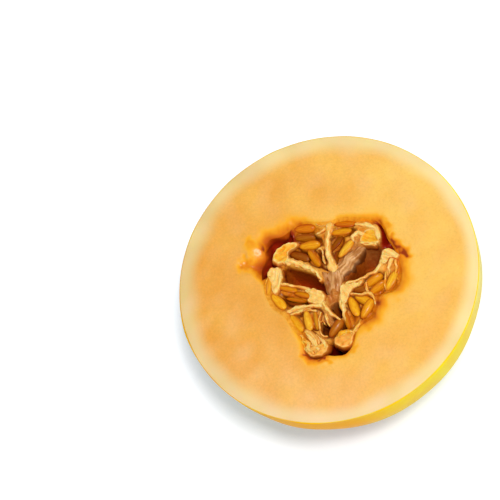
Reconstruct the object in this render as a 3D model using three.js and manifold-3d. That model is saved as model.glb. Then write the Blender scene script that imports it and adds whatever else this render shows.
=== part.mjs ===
// Half a honeydew melon, cut across and resting level on a small flat spot at the blossom end.
//
// Frame: millimetres, +Z up along the fruit's length, origin at the centre of the flat spot.
// The cut face is level, FACE_HEIGHT above it. +Y is the flat side of the three-cornered seed
// cavity, and -Y is its lowest corner.
//
// The skin and flesh are one grown piece. The pulp is a soft body in the cavity, with three deep
// pockets between its lobes, and every seed is a piece of its own in a socket in the pulp.

import * as THREE from 'three';
import { mergeVertices } from 'three/addons/utils/BufferGeometryUtils.js';
import Module from 'manifold-3d';

const wasm = await Module();
wasm.setup();

// Driving dimensions
const FACE_RADIUS = 82; // mean radius of the cut face
const HALF_LENGTH = 106.3; // centre of the fruit to its blossom end, before the flat spot
const REST_DROP = 1.3; // how much of the blossom end the flat spot takes off
const OVAL_COS = 0.02; // the face is 2% wider across X than a circle ...
const OVAL_SIN = 0.01; // ... and its long direction leans a little towards +Y
const CAVITY_DEPTH = 70; // cut face to the bottom of the seed cavity
const PULP_DEPTH = 66; // cut face to the bottom of the pulp
const PULP_TOP = 4.6; // how far the bed of the pulp lies below the cut face
const GAP = 0.35; // clearance between neighbouring pieces
const SEED = { length: 11.6, width: 5, thickness: 2.1 };

// Facets
const SIDES = 48; // around the fruit and the cavity
const SKIN_RINGS = 13;
const CAVITY_RINGS = 8;
const POCKET_SIDES = 20;
const POCKET_STEPS = [0.95, 0.8, 0.55, 0.25, 0]; // shares of a pocket's depth, from its end up
const SEED_SIDES = 8;
const SEED_RINGS = 5;

const FACE_HEIGHT = HALF_LENGTH - REST_DROP;
const CAVITY_CENTRE = new THREE.Vector2(2, -4);

// Edge of the cavity in the cut face: a rounded triangle, torn wider at both upper corners.
const CAVITY_EDGE = [
  [1, 31.5], [-6, 31.5], [-13, 32], [-19, 30], [-23.5, 26], [-29, 24], [-36, 22.5], [-35.5, 17],
  [-35, 12], [-37.5, 7.5], [-38, 4], [-35.5, -1], [-34.5, -7], [-32, -12.5], [-28.5, -18],
  [-23, -21], [-20.5, -24.5], [-17, -29.5], [-12.5, -34.5], [-10.5, -40], [-7.5, -44.5],
  [-3, -45.5], [1.5, -43.8], [6, -44], [10.5, -43.8], [15, -41], [16.8, -36.5], [18.5, -31],
  [22, -26.5], [27, -24], [29.5, -17], [31.5, -10.5], [37.5, -9.5], [41.5, -5], [42.3, 1],
  [41.2, 6], [39.2, 9.5], [38.6, 13], [36.4, 16], [34.2, 19.2], [32.4, 23], [30.4, 28.2],
  [25.6, 31.6], [17, 33], [9, 33.8],
];

// Edge of the pulp: past the cavity's edge where the two meet, and drawn back from it where they
// have come apart, at the three corners and in the cleft at the foot.
const PULP_EDGE = [
  [1, 34], [-14, 34.5], [-21, 31], [-22.5, 25], [-25.5, 20.5], [-29.5, 16.5], [-31, 12],
  [-29, 8.5], [-31.5, 6.2], [-34.5, 2.5], [-36.5, -1], [-36.5, -7], [-34, -13.5], [-30, -20],
  [-24, -23.5], [-19, -31], [-14, -37], [-10.5, -41.5], [-5, -43.5], [1, -42], [3.4, -38.5],
  [4.6, -35.5], [6.2, -38.5], [9.5, -40.3], [13.8, -39.5], [17.5, -37.5], [20, -32],
  [24, -28.5], [29, -25.5], [32, -17], [33.5, -12.5], [39, -11.5], [43.5, -5.5], [44, 1],
  [42, 7], [39, 11.5], [36, 13.8], [32.3, 13.8], [30.6, 16.5], [30.6, 22.5], [29, 26.5],
  [27.5, 34], [17, 35], [9, 36],
];

// The three pockets between the pulp's lobes: outline at the top, depth, and how the axis leans.
const POCKETS = [
  {
    edge: [[-24, 6.5], [-15, 5], [-5, 1], [0, -6.5], [-9, -6], [-19, -4], [-24, -1]],
    depth: 48, lean: [6, 0],
  },
  {
    edge: [[21, 17.5], [16, 13.5], [11, 3], [10, -4], [18, -3], [25, 0], [29, 6], [29, 15]],
    depth: 52, lean: [-7, 0],
  },
  {
    edge: [[5.5, -13.5], [4, -17], [4, -20.5], [6, -22.3], [8, -21], [8.2, -16.5]],
    depth: 34, lean: [-1, 5],
  },
];

// Raised folds of the pulp: the ridge, the hoods over the pockets and the lobes' cut edges.
const FOLDS = [
  { path: [[1.5, 29], [1, 22], [1, 14], [2, 8], [4.5, 4.5]], width: 3, top: 1.2 },
  { path: [[-17, 18], [-22, 17.5], [-26.5, 15], [-26.8, 11.5]], width: 5, top: 1.4 },
  { path: [[-26.8, 11.5], [-20, 8.8], [-12, 5.8], [-4, 3], [3.5, 4.5]], width: 3.4, top: 1.6 },
  { path: [[16.5, 27.5], [24, 26.5], [28, 23], [28, 18.8]], width: 3, top: 1.4 },
  { path: [[4.5, 4], [9, 8], [14, 14], [17, 18]], width: 2.6, top: 2 },
  { path: [[-28.5, 4], [-27.5, -1], [-28, -7]], width: 5, top: 1.4 },
  { path: [[-25.5, -3], [-19, -5], [-8, -8], [0, -10.5], [2, -16]], width: 2.4, top: 1.4 },
  { path: [[12, -26], [9.5, -14], [11, -6.5], [18, -4.6], [26, -0.6], [31, 5], [32.5, 12]],
    width: 2.4, top: 1.4 },
  { path: [[33, 11.5], [37.5, 9.5], [35.5, 2]], width: 3, top: 1.4 },
  { path: [[-8, -38.5], [-4, -40], [0.5, -38]], width: 4.5, top: 1.4 },
  { path: [[8, -37], [12, -36.5], [14, -34]], width: 4.5, top: 1.4 },
];
const FOLD_FOOT = 9; // how far below the cut face a fold's foot is sunk in the pulp
const FOLD_SLOPE = 1; // how far its shoulders lie below its crest
const CREST = 0.2; // half the crest's width, as a share of the fold's width

// Seeds by lobe: x, y, depth of the centre below the cut face, then heading in the face, pitch
// of the blunt end downwards and roll about the seed's length, in degrees.
const SEEDS = [
  // upper lobe, left of the ridge
  [-13, 28.2, 3.2, 2, 0, 22], [-13, 23.2, 4.6, -2, 0, 42], [-9.8, 18.5, 3.2, 6, 0, 30],
  [-15.9, 13, 5.2, -20, 0, 12], [-7.4, 11.6, 4, -52, 0, 40],
  // upper lobe, right of the ridge
  [9.6, 30, 3.4, -2, 0, -35], [7.6, 25.6, 3.4, 6, 0, -28], [4.4, 19, 5, 52, 0, -40],
  [10.6, 15.7, 3.4, 50, 0, -18], [4.4, 9.6, 6.2, 80, 0, 74],
  // lower left lobe
  [-31.8, -4, 2.8, 82, 0, 66], [-26.4, -12.6, 2.8, -46, 0, -12],
  [-21.8, -5.5, 3.4, -14, 0, -50], [-12, -9.2, 3.8, -13, 0, -48],
  [-16.8, -11.6, 5, -10, 0, -72], [-16, -14, 6.2, -9, 0, -70],
  [-15.7, -25, 2.9, -51, 0, 26], [-9.3, -23.7, 3, -74, 0, 12], [-5.2, -22.8, 4.6, -78, 0, 58],
  [-6.7, -33, 2.9, -43, 0, 22],
  // lower right lobe
  [17.2, -6.2, 4.8, -10, 0, 8], [26.2, -2.8, 3.2, 33, 0, 35], [28.9, -6.4, 4.4, 36, 0, 42],
  [36.1, -3.4, 3.2, 62, 0, -12], [15.9, -16.6, 3.2, -66, 0, -26], [23.2, -18.2, 3.4, 62, 0, 14],
  [12, -23.2, 3.8, -72, 0, 50], [6.2, -28.1, 4, 56, 0, 18], [21, -12.6, 5.6, -24, 0, 20],
];

const FLESH_COLOUR = 0xf8b95a;
const PULP_COLOUR = 0xf2c27b;
const SEED_COLOUR = 0xe4a82a;

/** A closed body from a stack of rings of equal count, from its first pole to its last. */
function ringBody(firstPole, rings, lastPole) {
  const count = rings[0].length;
  const points = [firstPole, ...rings.flat(), lastPole];
  const index = [];
  const last = points.length - 1;
  for (let i = 0; i < count; i++) {
    const next = (i + 1) % count;
    index.push(0, 1 + next, 1 + i);
    for (let k = 0; k + 1 < rings.length; k++) {
      const [a, b] = [1 + k * count + i, 1 + k * count + next];
      index.push(a, b, b + count, a, b + count, a + count);
    }
    index.push(last - count + i, last - count + next, last);
  }
  const geometry = new THREE.BufferGeometry().setFromPoints(points);
  geometry.setIndex(index);
  geometry.computeVertexNormals();
  return geometry;
}

/** A smooth closed outline through [x, y] points, as `sides` points at even steps of length. */
function smoothOutline(edge, sides) {
  const curve = new THREE.CatmullRomCurve3(
    edge.map(([x, y]) => new THREE.Vector3(x, y, 0)), true, 'centripetal');
  const points = curve.getSpacedPoints(sides).slice(0, sides);
  return points.map(({ x, y }) => new THREE.Vector2(x, y));
}

/** Radius of an outline seen from `centre`, in the direction `angle`. */
function radiusTowards(outline, centre, angle) {
  const ray = new THREE.Vector2(Math.cos(angle), Math.sin(angle));
  let radius = 0;
  outline.forEach((point, i) => {
    const a = point.clone().sub(centre);
    const b = outline[(i + 1) % outline.length].clone().sub(centre);
    const [sideA, sideB] = [ray.cross(a), ray.cross(b)];
    if (sideA <= 0 && sideB > 0) {
      const hit = a.lerp(b, sideA / (sideA - sideB));
      radius = Math.max(radius, ray.dot(hit));
    }
  });
  return radius;
}

/** An outline drawn again from the cavity's centre, with one point for each of the body's sides. */
function spokes(edge) {
  const outline = smoothOutline(edge, 6 * SIDES);
  return Array.from({ length: SIDES }, (_, i) => {
    const angle = (i / SIDES) * 2 * Math.PI;
    const radius = radiusTowards(outline, CAVITY_CENTRE, angle);
    return new THREE.Vector2(Math.cos(angle), Math.sin(angle)).multiplyScalar(radius);
  });
}

/** One ring of a hollow: the spokes drawn in by `scale`, at `depth` below the cut face. */
function hollowRing(spokeList, scale, depth) {
  return spokeList.map(({ x, y }) => new THREE.Vector3(
    CAVITY_CENTRE.x + x * scale, CAVITY_CENTRE.y + y * scale, FACE_HEIGHT - depth));
}

/** How far a spindle-shaped hollow has drawn in at a depth: 1 at the cut face, 0 at its end. */
const drawIn = (depth, end) => Math.sqrt(Math.max(0, 1 - (depth / end) ** 2.2));

/** Rings down a spindle-shaped hollow, closer together where it turns in at its end. */
function hollowRings(spokeList, firstDepth, end) {
  return Array.from({ length: CAVITY_RINGS }, (_, k) => {
    const depth = firstDepth + (end - firstDepth) * Math.sin((k / CAVITY_RINGS) * Math.PI / 2);
    return hollowRing(spokeList, drawIn(depth, end), depth);
  });
}

/** A point on the cavity's axis, `depth` below the cut face. */
function onCavityAxis(depth) {
  return new THREE.Vector3(CAVITY_CENTRE.x, CAVITY_CENTRE.y, FACE_HEIGHT - depth);
}

/** One ring of the skin, `below` the cut face. */
function skinRing(below) {
  const scale = FACE_RADIUS * Math.sqrt(1 - (below / HALF_LENGTH) ** 2);
  return Array.from({ length: SIDES }, (_, i) => {
    const angle = (i / SIDES) * 2 * Math.PI;
    const oval = 1 + OVAL_COS * Math.cos(2 * angle) + OVAL_SIN * Math.sin(2 * angle);
    return new THREE.Vector3(
      scale * oval * Math.cos(angle), scale * oval * Math.sin(angle), FACE_HEIGHT - below);
  });
}

/** Skin and flesh in one: up the skin from the flat spot, over the cut face, down the cavity. */
function rindAndFlesh() {
  const flatAngle = Math.asin(FACE_HEIGHT / HALF_LENGTH);
  const skin = Array.from({ length: SKIN_RINGS }, (_, k) => {
    const angle = flatAngle * (1 - k / (SKIN_RINGS - 1));
    return skinRing(HALF_LENGTH * Math.sin(angle));
  });
  const cavity = hollowRings(spokes(CAVITY_EDGE), 0, CAVITY_DEPTH);
  return ringBody(new THREE.Vector3(0, 0, 0), [...skin, ...cavity], onCavityAxis(CAVITY_DEPTH));
}

/** A geometry as a manifold-3d solid. */
function toSolid(geometry) {
  const bare = geometry.clone();
  bare.deleteAttribute('normal');
  bare.deleteAttribute('uv');
  const merged = mergeVertices(bare, 1e-4);
  return new wasm.Manifold(new wasm.Mesh({
    numProp: 3,
    vertProperties: new Float32Array(merged.attributes.position.array),
    triVerts: new Uint32Array(merged.index.array),
  }));
}

/** A manifold-3d solid as a geometry. */
function toGeometry(solid) {
  const { vertProperties, triVerts } = solid.getMesh();
  const geometry = new THREE.BufferGeometry();
  geometry.setAttribute('position', new THREE.BufferAttribute(vertProperties, 3));
  geometry.setIndex(new THREE.BufferAttribute(triVerts, 1));
  geometry.computeVertexNormals();
  return geometry;
}

/** A solid spindle that fills a hollow from its end up to `top` below the cut face. */
function spindleBody(spokeList, top, end) {
  const rings = hollowRings(spokeList, top, end).reverse();
  return ringBody(onCavityAxis(end), rings, onCavityAxis(top));
}

/** The pulp before cutting: it fills the cavity up to its bed below the cut face. */
const pulpBlank = () => spindleBody(spokes(PULP_EDGE), PULP_TOP, PULP_DEPTH);

/** The room that the pulp may take: the cavity, drawn in all round by the gap. */
function cavityRoom() {
  const spokeList = spokes(CAVITY_EDGE).map((spoke) => spoke.setLength(spoke.length() - 2 * GAP));
  return spindleBody(spokeList, 0, CAVITY_DEPTH - 2 * GAP);
}

/** A pocket's hollow: its outline, drawn in and carried sideways as it goes down. */
function pocketBody({ edge, depth, lean }) {
  const outline = smoothOutline(edge, POCKET_SIDES);
  if (THREE.ShapeUtils.area(outline) < 0) outline.reverse();
  const centre = outline.reduce((sum, p) => sum.add(p), new THREE.Vector2());
  centre.divideScalar(outline.length);
  const at = (t) => [centre.x + lean[0] * t, centre.y + lean[1] * t, FACE_HEIGHT - depth * t];
  const rings = POCKET_STEPS.map((t) => {
    const scale = Math.sqrt(1 - t ** 2.5);
    const [x, y, z] = at(t);
    return outline.map((p) => new THREE.Vector3(
      x + (p.x - centre.x) * scale, y + (p.y - centre.y) * scale, z));
  });
  return ringBody(new THREE.Vector3(...at(1)), rings, new THREE.Vector3(...at(0)));
}

/** A raised fold: an upright wall with a narrower crest, swept along its path. */
function foldBody({ path, width, top }) {
  const curve = new THREE.CatmullRomCurve3(path.map(([x, y]) => new THREE.Vector3(x, y, 0)));
  const count = 3 * path.length;
  const sections = Array.from({ length: count }, (_, k) => {
    const t = k / (count - 1);
    const point = curve.getPointAt(t);
    const along = curve.getTangentAt(t);
    const side = new THREE.Vector3(-along.y, along.x, 0);
    const corner = (across, depth) => point.clone()
      .addScaledVector(side, across * width).setZ(FACE_HEIGHT - depth);
    return [corner(0.5, FOLD_FOOT), corner(0.5, top + FOLD_SLOPE), corner(CREST, top),
      corner(-CREST, top), corner(-0.5, top + FOLD_SLOPE), corner(-0.5, FOLD_FOOT)];
  });
  const middle = (ring) => ring.reduce((sum, p) => sum.add(p), new THREE.Vector3())
    .divideScalar(ring.length);
  return ringBody(middle(sections[0]), sections, middle(sections[count - 1]));
}

/** A flat seed along X, blunt at +X and drawn to a point at -X, grown by `extra` all round. */
function seedGeometry(extra = 0) {
  const half = { x: SEED.length / 2 + extra, y: SEED.width / 2 + extra, z: SEED.thickness / 2 + extra };
  const rings = Array.from({ length: SEED_RINGS }, (_, k) => {
    const along = Math.PI * (k + 1) / (SEED_RINGS + 1);
    const girth = Math.sin(along) ** 0.85 * (1 - 0.2 * Math.cos(along));
    return Array.from({ length: SEED_SIDES }, (_, i) => {
      const around = (i / SEED_SIDES) * 2 * Math.PI;
      return new THREE.Vector3(-half.x * Math.cos(along),
        half.y * girth * Math.cos(around), half.z * girth * Math.sin(around));
    });
  });
  return ringBody(new THREE.Vector3(-half.x, 0, 0), rings, new THREE.Vector3(half.x, 0, 0));
}

/** A mesh of `geometry` laid in the pulp where a row of SEEDS says. */
function layInPulp(geometry, material, [x, y, depth, heading, pitch, roll]) {
  const mesh = new THREE.Mesh(geometry, material);
  mesh.position.set(x, y, FACE_HEIGHT - depth);
  mesh.rotation.set(...[roll, pitch, heading].map(THREE.MathUtils.degToRad), 'ZYX');
  mesh.updateMatrix();
  return mesh;
}

/** The pulp: blank and folds joined, kept to the cavity, with pockets and seed sockets cut out. */
function seedPulp() {
  let solid = toSolid(pulpBlank());
  for (const fold of FOLDS) solid = solid.add(toSolid(foldBody(fold)));
  solid = solid.intersect(toSolid(cavityRoom()));
  for (const pocket of POCKETS) solid = solid.subtract(toSolid(pocketBody(pocket)));
  const socket = seedGeometry(1.5 * GAP);
  for (const row of SEEDS) {
    const { matrix } = layInPulp(socket, null, row);
    solid = solid.subtract(toSolid(socket.clone().applyMatrix4(matrix)));
  }
  return toGeometry(solid);
}

/** A named mesh with a material of its own. */
function piece(name, geometry, color, roughness) {
  const material = new THREE.MeshStandardMaterial({ color, roughness, metalness: 0 });
  const mesh = new THREE.Mesh(geometry, material);
  mesh.name = name;
  return mesh;
}

const melon = new THREE.Group();
melon.add(piece('rind_and_flesh', rindAndFlesh(), FLESH_COLOUR, 0.45));
melon.add(piece('seed_pulp', seedPulp(), PULP_COLOUR, 0.3));

const seedShape = seedGeometry();
SEEDS.forEach((row, i) => {
  const material = new THREE.MeshStandardMaterial({ color: SEED_COLOUR, roughness: 0.3, metalness: 0 });
  const seed = layInPulp(seedShape, material, row);
  seed.name = `seed_${String(i + 1).padStart(2, '0')}`;
  melon.add(seed);
});

export default melon;
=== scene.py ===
# %% [markdown]
# # Half a honeydew melon
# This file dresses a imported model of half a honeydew, cut across and standing on a small flat
# spot. The model gives the sizes: the height of the cut, the outline of the cavity and the place
# of every seed. What is made here is the fine surface of each piece and its finish.

import bpy
import numpy as np
from mathutils import Matrix, Vector


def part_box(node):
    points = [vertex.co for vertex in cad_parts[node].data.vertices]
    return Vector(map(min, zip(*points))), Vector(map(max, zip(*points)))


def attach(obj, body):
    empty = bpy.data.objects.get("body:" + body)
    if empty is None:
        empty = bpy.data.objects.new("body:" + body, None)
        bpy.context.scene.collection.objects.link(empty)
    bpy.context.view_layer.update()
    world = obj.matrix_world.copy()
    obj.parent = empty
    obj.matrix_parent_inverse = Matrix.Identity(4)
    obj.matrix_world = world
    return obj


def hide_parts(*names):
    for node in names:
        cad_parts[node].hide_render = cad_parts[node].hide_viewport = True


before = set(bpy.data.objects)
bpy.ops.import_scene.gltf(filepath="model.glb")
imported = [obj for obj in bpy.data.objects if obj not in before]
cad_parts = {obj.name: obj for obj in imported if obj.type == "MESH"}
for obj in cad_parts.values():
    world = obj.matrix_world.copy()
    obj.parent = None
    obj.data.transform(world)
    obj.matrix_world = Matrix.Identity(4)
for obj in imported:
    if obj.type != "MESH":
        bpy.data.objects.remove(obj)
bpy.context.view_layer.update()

# %% [markdown]
# ## Working in the plane of the cut
# The seed cavity is easiest to think of as a drawing in the plane of the cut: x to the right,
# y away from the viewer, and a depth below the cut, all in millimetres. One function turns such
# places into metres in the model's own frame. Every piece but the seeds goes through it, and the
# seeds take their places straight from the model.

# %% Millimetres in the cut plane, and points of the model
MM = 0.001
SAME_LEVEL = 0.01  # mm: points of the model this close in height lie in one plane
FACE_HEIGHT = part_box("rind_and_flesh")[1].z / MM


def in_frame(x, y, depth):
    """Metres in the model's frame: x and y kept, and height = height of the cut less the depth."""
    x, y, depth = np.broadcast_arrays(x, y, depth)
    return np.stack([x * MM, y * MM, (FACE_HEIGHT - depth) * MM], axis=-1)


def node_points(node):
    """All vertices of a model piece, in millimetres, one row each."""
    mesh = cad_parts[node].data
    flat = np.empty(3 * len(mesh.vertices), np.float32)
    mesh.vertices.foreach_get("co", flat)
    return flat.reshape(-1, 3).astype(float) / MM


flesh_points = node_points("rind_and_flesh")
pulp_points = node_points("seed_pulp")
CENTRE = pulp_points[pulp_points[:, 2].argmin(), :2]
print("cut at", round(FACE_HEIGHT, 2), "mm, cavity centred on", CENTRE.round(2))

# %% [markdown]
# ## Smooth lines through a few points
# A maker draws a curve with a handful of points and lets a flexible strip run through them. A
# Catmull-Rom spline does the same: between two points it is a cubic whose slope at each point is
# half the step from the point before to the point after.

# %% A spline, sampled at even steps of length, and distances to it
FAR = 1e9  # mm: farther than anything here
TINY = 1e-12  # mm squared: keeps a step of no length from dividing by zero


def spline(points, count, closed=False, fine=24):
    """Catmull-Rom curve: p(t) = 1/2 (2b + (c-a)t + (2a-5b+4c-d)t^2 + (3b-a-3c+d)t^3)."""
    points = np.asarray(points, float)
    if closed:
        a, b, c, d = (np.roll(points, shift, axis=0) for shift in (1, 0, -1, -2))
    else:
        ends = np.vstack([2 * points[0] - points[1], points, 2 * points[-1] - points[-2]])
        a, b, c, d = ends[:-3], ends[1:-2], ends[2:-1], ends[3:]
    t = (np.arange(fine) / fine)[None, :, None]
    a, b, c, d = (p[:, None, :] for p in (a, b, c, d))
    run = 0.5 * (2 * b + (c - a) * t + (2 * a - 5 * b + 4 * c - d) * t**2
                 + (3 * b - a - 3 * c + d) * t**3)
    run = run.reshape(-1, points.shape[1])
    run = np.vstack([run, points[:1] if closed else points[-1:]])
    walked = np.concatenate([[0], np.cumsum(np.linalg.norm(np.diff(run, axis=0), axis=1))])
    wanted = np.linspace(0, walked[-1], count, endpoint=not closed)
    return np.stack([np.interp(wanted, walked, run[:, k]) for k in range(run.shape[1])], axis=-1)


def nearest_of(x, y, line):
    """Distance from every (x, y) to a line of short steps, and its other columns at that place."""
    best = np.full(np.shape(x), FAR)
    carried = np.zeros((*np.shape(x), line.shape[1] - 2))
    for a, b in zip(line[:-1], line[1:]):
        (ax, ay), (bx, by) = a[:2], b[:2]
        length2 = max((bx - ax) ** 2 + (by - ay) ** 2, TINY)
        t = np.clip(((x - ax) * (bx - ax) + (y - ay) * (by - ay)) / length2, 0, 1)
        away = np.hypot(x - ax - t * (bx - ax), y - ay - t * (by - ay))
        nearer = away < best
        best = np.where(nearer, away, best)
        carried = np.where(nearer[..., None], a[2:] + t[..., None] * (b[2:] - a[2:]), carried)
    return best, carried


def distance_to(x, y, line, closed=False):
    """Shortest distance from every (x, y) to a line."""
    return nearest_of(x, y, np.vstack([line, line[:1]]) if closed else line)[0]


def inside(x, y, line):
    """True where (x, y) lies inside a closed line: a ray from it crosses the line an odd time."""
    odd = np.zeros(np.shape(x), bool)
    for (ax, ay), (bx, by) in zip(line, np.roll(line, -1, axis=0)):
        if ay != by:
            odd ^= ((ay > y) != (by > y)) & (x < ax + (y - ay) * (bx - ax) / (by - ay))
    return odd


# %% [markdown]
# ## Soft steps, and uneven as grown
# Nothing on a fruit is even, and nothing on it starts at a line. Two functions do most of the
# shaping. smooth(2, 6, v) goes softly from 0 where v is 2 to 1 where it is 6, and smooth(6, 2, v)
# goes the other way. A sum of a few sine waves in random directions gives a smooth uneven field,
# which is cheap and the same on every run: 0.25 * waves(x, y, 45, seed=3) is a field of swells
# about 0.25 mm high and 45 mm long.

# %% A soft step, angles, and a smooth random field
def smooth(low, high, value):
    """0 at low, 1 at high, 3t^2 - 2t^3 between them, and held beyond them."""
    t = np.clip((value - low) / (high - low), 0, 1)
    return t * t * (3 - 2 * t)


def waves(x, y, size, seed, count=14):
    """Sum of `count` sine waves, size/1.6 to size/0.6 long, over sqrt(count): mostly -1 to 1."""
    random = np.random.default_rng(seed)
    angle = random.uniform(0, 2 * np.pi, count)
    pitch = 2 * np.pi / size * random.uniform(0.6, 1.6, count)
    phase = random.uniform(0, 2 * np.pi, count)
    total = np.zeros(np.shape(x))
    for k in range(count):
        total = total + np.sin(pitch[k] * (np.cos(angle[k]) * x + np.sin(angle[k]) * y) + phase[k])
    return total / np.sqrt(count)


def stacked(fields, *parts):
    """Fields over stacked rings, each written as one value or array for every part of the stack."""
    return {name: np.vstack([np.broadcast_to(value, part.shape) for value, part in zip(values, parts)])
            for name, values in fields.items()}


def around(count):
    """Angles of `count` even places round a ring, from 0, in radians."""
    return np.arange(count) / count * 2 * np.pi


def degrees_from(side, degrees):
    """How far round from a side a direction is, 0 to 180 degrees."""
    return np.abs((degrees - side + 180) % 360 - 180)


def by_direction(table, degrees):
    """The columns of a table whose first column is a direction, read at other directions."""
    return [np.interp(degrees, table[:, 0], column, period=360) for column in table.T[1:]]


# %% [markdown]
# ## One way to make every piece
# Skin, pulp, folds and seeds are all closed bodies made of rings, stacked from one end to the
# other like the hoops of a basket. So one function takes a grid of points, one row to a ring,
# joins them with four-sided faces and closes both ends with a fan.

# %% Rings to a closed mesh
def ring_piece(name, rings, materials, fields=None, material_of_row=None):
    """A closed body from rings[row, column], in metres; fields hold one value a grid point."""
    rows, columns = rings.shape[:2]
    ends = np.stack([rings[0].mean(axis=0), rings[-1].mean(axis=0)])
    points = np.vstack([rings.reshape(-1, 3), ends])
    column = np.arange(columns)
    beside = (column + 1) % columns
    start = (np.arange(rows - 1) * columns)[:, None]
    quads = np.stack([start + column, start + beside, start + columns + beside,
                      start + columns + column], axis=-1).reshape(-1, 4)
    first = np.stack([np.full(columns, rows * columns), beside, column], axis=-1)
    last = (rows - 1) * columns
    final = np.stack([np.full(columns, rows * columns + 1), last + column, last + beside], axis=-1)
    if signed_volume(points, quads, first, final) < 0:
        quads, first, final = quads[:, ::-1], first[:, ::-1], final[:, ::-1]
    corners = np.concatenate([quads.ravel(), first.ravel(), final.ravel()])
    sizes = np.concatenate([np.full(len(quads), 4), np.full(2 * columns, 3)])
    mesh = bpy.data.meshes.new(name)
    mesh.vertices.add(len(points))
    mesh.vertices.foreach_set("co", points.astype(np.float32).ravel())
    mesh.loops.add(len(corners))
    mesh.loops.foreach_set("vertex_index", corners.astype(np.int32))
    mesh.polygons.add(len(sizes))
    mesh.polygons.foreach_set("loop_start", np.concatenate([[0], np.cumsum(sizes)[:-1]]))
    mesh.update(calc_edges=True)
    mesh.validate()
    mesh.polygons.foreach_set("use_smooth", np.ones(len(sizes), bool))
    for field, value in (fields or {}).items():
        value = np.broadcast_to(value, (rows, columns))
        tips = [value[0].mean(), value[-1].mean()]
        layer = mesh.attributes.new(field, "FLOAT", "POINT")
        layer.data.foreach_set("value", np.concatenate([value.ravel(), tips]).astype(np.float32))
    for material in materials:
        mesh.materials.append(material)
    if material_of_row is not None:
        by_face = np.concatenate([np.repeat(material_of_row[:-1], columns),
                                  np.full(columns, material_of_row[0]),
                                  np.full(columns, material_of_row[-1])])
        mesh.polygons.foreach_set("material_index", by_face.astype(np.int32))
    piece = bpy.data.objects.new(name, mesh)
    bpy.context.scene.collection.objects.link(piece)
    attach(piece, "root")
    return piece


def signed_volume(points, quads, *fans):
    """A sixth of the sum of a . (b x c) over all triangles: positive where faces point out."""
    triangles = np.vstack([quads[:, [0, 1, 2]], quads[:, [0, 2, 3]], *fans])
    a, b, c = (points[triangles[:, k]] for k in range(3))
    return np.einsum("ij,ij->", a, np.cross(b, c)) / 6


# %% [markdown]
# ## Nodes by the handful
# A material is a small graph. One helper adds a node with its settings, and one starts a material
# round a Principled shader. The rest are the steps that the materials here keep taking: a noise,
# a stretch of a value, a ramp, a mix, a tint, and colours laid over each other where a field of
# the piece says so. Paint is written as it shows on a screen, and tints and glows as plain shares.

# %% Node helpers
def linear(red, green, blue):
    """A colour written as 0 to 255 on a screen, as the linear values that a shader takes."""
    c = np.array([red, green, blue]) / 255
    return (*np.where(c <= 0.04045, c / 12.92, ((c + 0.055) / 1.055) ** 2.4).tolist(), 1.0)


def stops(*rows):
    """Rows of a place, 0 to 1, and a screen colour, as the (place, colour) pairs of a ramp."""
    return [(place, linear(*colour)) for place, *colour in rows]


def add_node(tree, kind, links=None, **settings):
    """A node of that kind: settings are its properties, links its inputs by name or number."""
    node = tree.nodes.new(kind)
    for key, value in settings.items():
        setattr(node, key, value)
    for key, value in (links or {}).items():
        socket = node.inputs[key]
        if isinstance(value, bpy.types.NodeSocket):
            tree.links.new(value, socket)
        else:
            socket.default_value = value
    return node


def new_material(name, **shader):
    """A material with one Principled shader, its plain sockets set from `shader`."""
    material = bpy.data.materials.new(name)
    material.use_nodes = True
    tree = material.node_tree
    principled = tree.nodes["Principled BSDF"]
    for key, value in shader.items():
        principled.inputs[key.replace("_", " ")].default_value = value
    return material, tree, principled


def field_of(tree, name):
    """The value that a piece carries in the attribute `name`."""
    return add_node(tree, "ShaderNodeAttribute", attribute_name=name).outputs["Fac"]


def noise(tree, place, scale, detail, roughness):
    """Soft noise of 0 to 1, `scale` swells to a unit of the place that it is read at."""
    links = {"Vector": place, "Scale": scale, "Detail": detail, "Roughness": roughness}
    return add_node(tree, "ShaderNodeTexNoise", links).outputs["Fac"]


def stretched(tree, value, span, to=(0.0, 1.0), kind="LINEAR"):
    """The value taken from the two ends of span to the two ends of to, and held beyond them."""
    links = {"Value": value, "From Min": span[0], "From Max": span[1], "To Min": to[0], "To Max": to[1]}
    return add_node(tree, "ShaderNodeMapRange", links, interpolation_type=kind).outputs["Result"]


def ramp(tree, factor, rows):
    """A colour ramp through (place, colour) pairs, places from 0 to 1."""
    node = add_node(tree, "ShaderNodeValToRGB", {"Fac": factor})
    elements = node.color_ramp.elements
    while len(elements) < len(rows):
        elements.new(0.5)
    for element, (place, colour) in zip(elements, rows):
        element.position = place
        element.color = colour
    return node.outputs["Color"]


def mix_colours(tree, factor, first, second, blend="MIX"):
    """first where factor is 0, second where it is 1."""
    links = {0: factor, 6: first, 7: second}
    return add_node(tree, "ShaderNodeMix", links, data_type="RGBA", blend_type=blend).outputs[2]


def tinted(tree, colour, red, green, blue):
    """The colour times three shares."""
    return mix_colours(tree, 1.0, colour, (red, green, blue, 1), blend="MULTIPLY")


def layered(tree, colour, *layers):
    """Layers are (field, colour) pairs: each covers what is below it where its field is 1."""
    for field, above in layers:
        colour = mix_colours(tree, field_of(tree, field), colour, above)
    return colour


def finish(tree, principled, colour, height, strength, distance):
    """The shader's colour, and its bump: `distance` metres high where `height` is 1."""
    links = {"Height": height, "Strength": strength, "Distance": distance}
    bump = add_node(tree, "ShaderNodeBump", links)
    tree.links.new(colour, principled.inputs["Base Color"])
    tree.links.new(bump.outputs["Normal"], principled.inputs["Normal"])


# %% [markdown]
# ## Light
# The half stands on a plain white table in soft light. A pale sky, brighter near the horizon,
# gives light from all sides. A small lamp high up at the right gives the rest: it throws a soft
# shadow to the left and makes the wet places shine. Together they bring a level white surface to
# about white, so a colour shows about as it is written. The camera itself sees a plain white sky.

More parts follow.
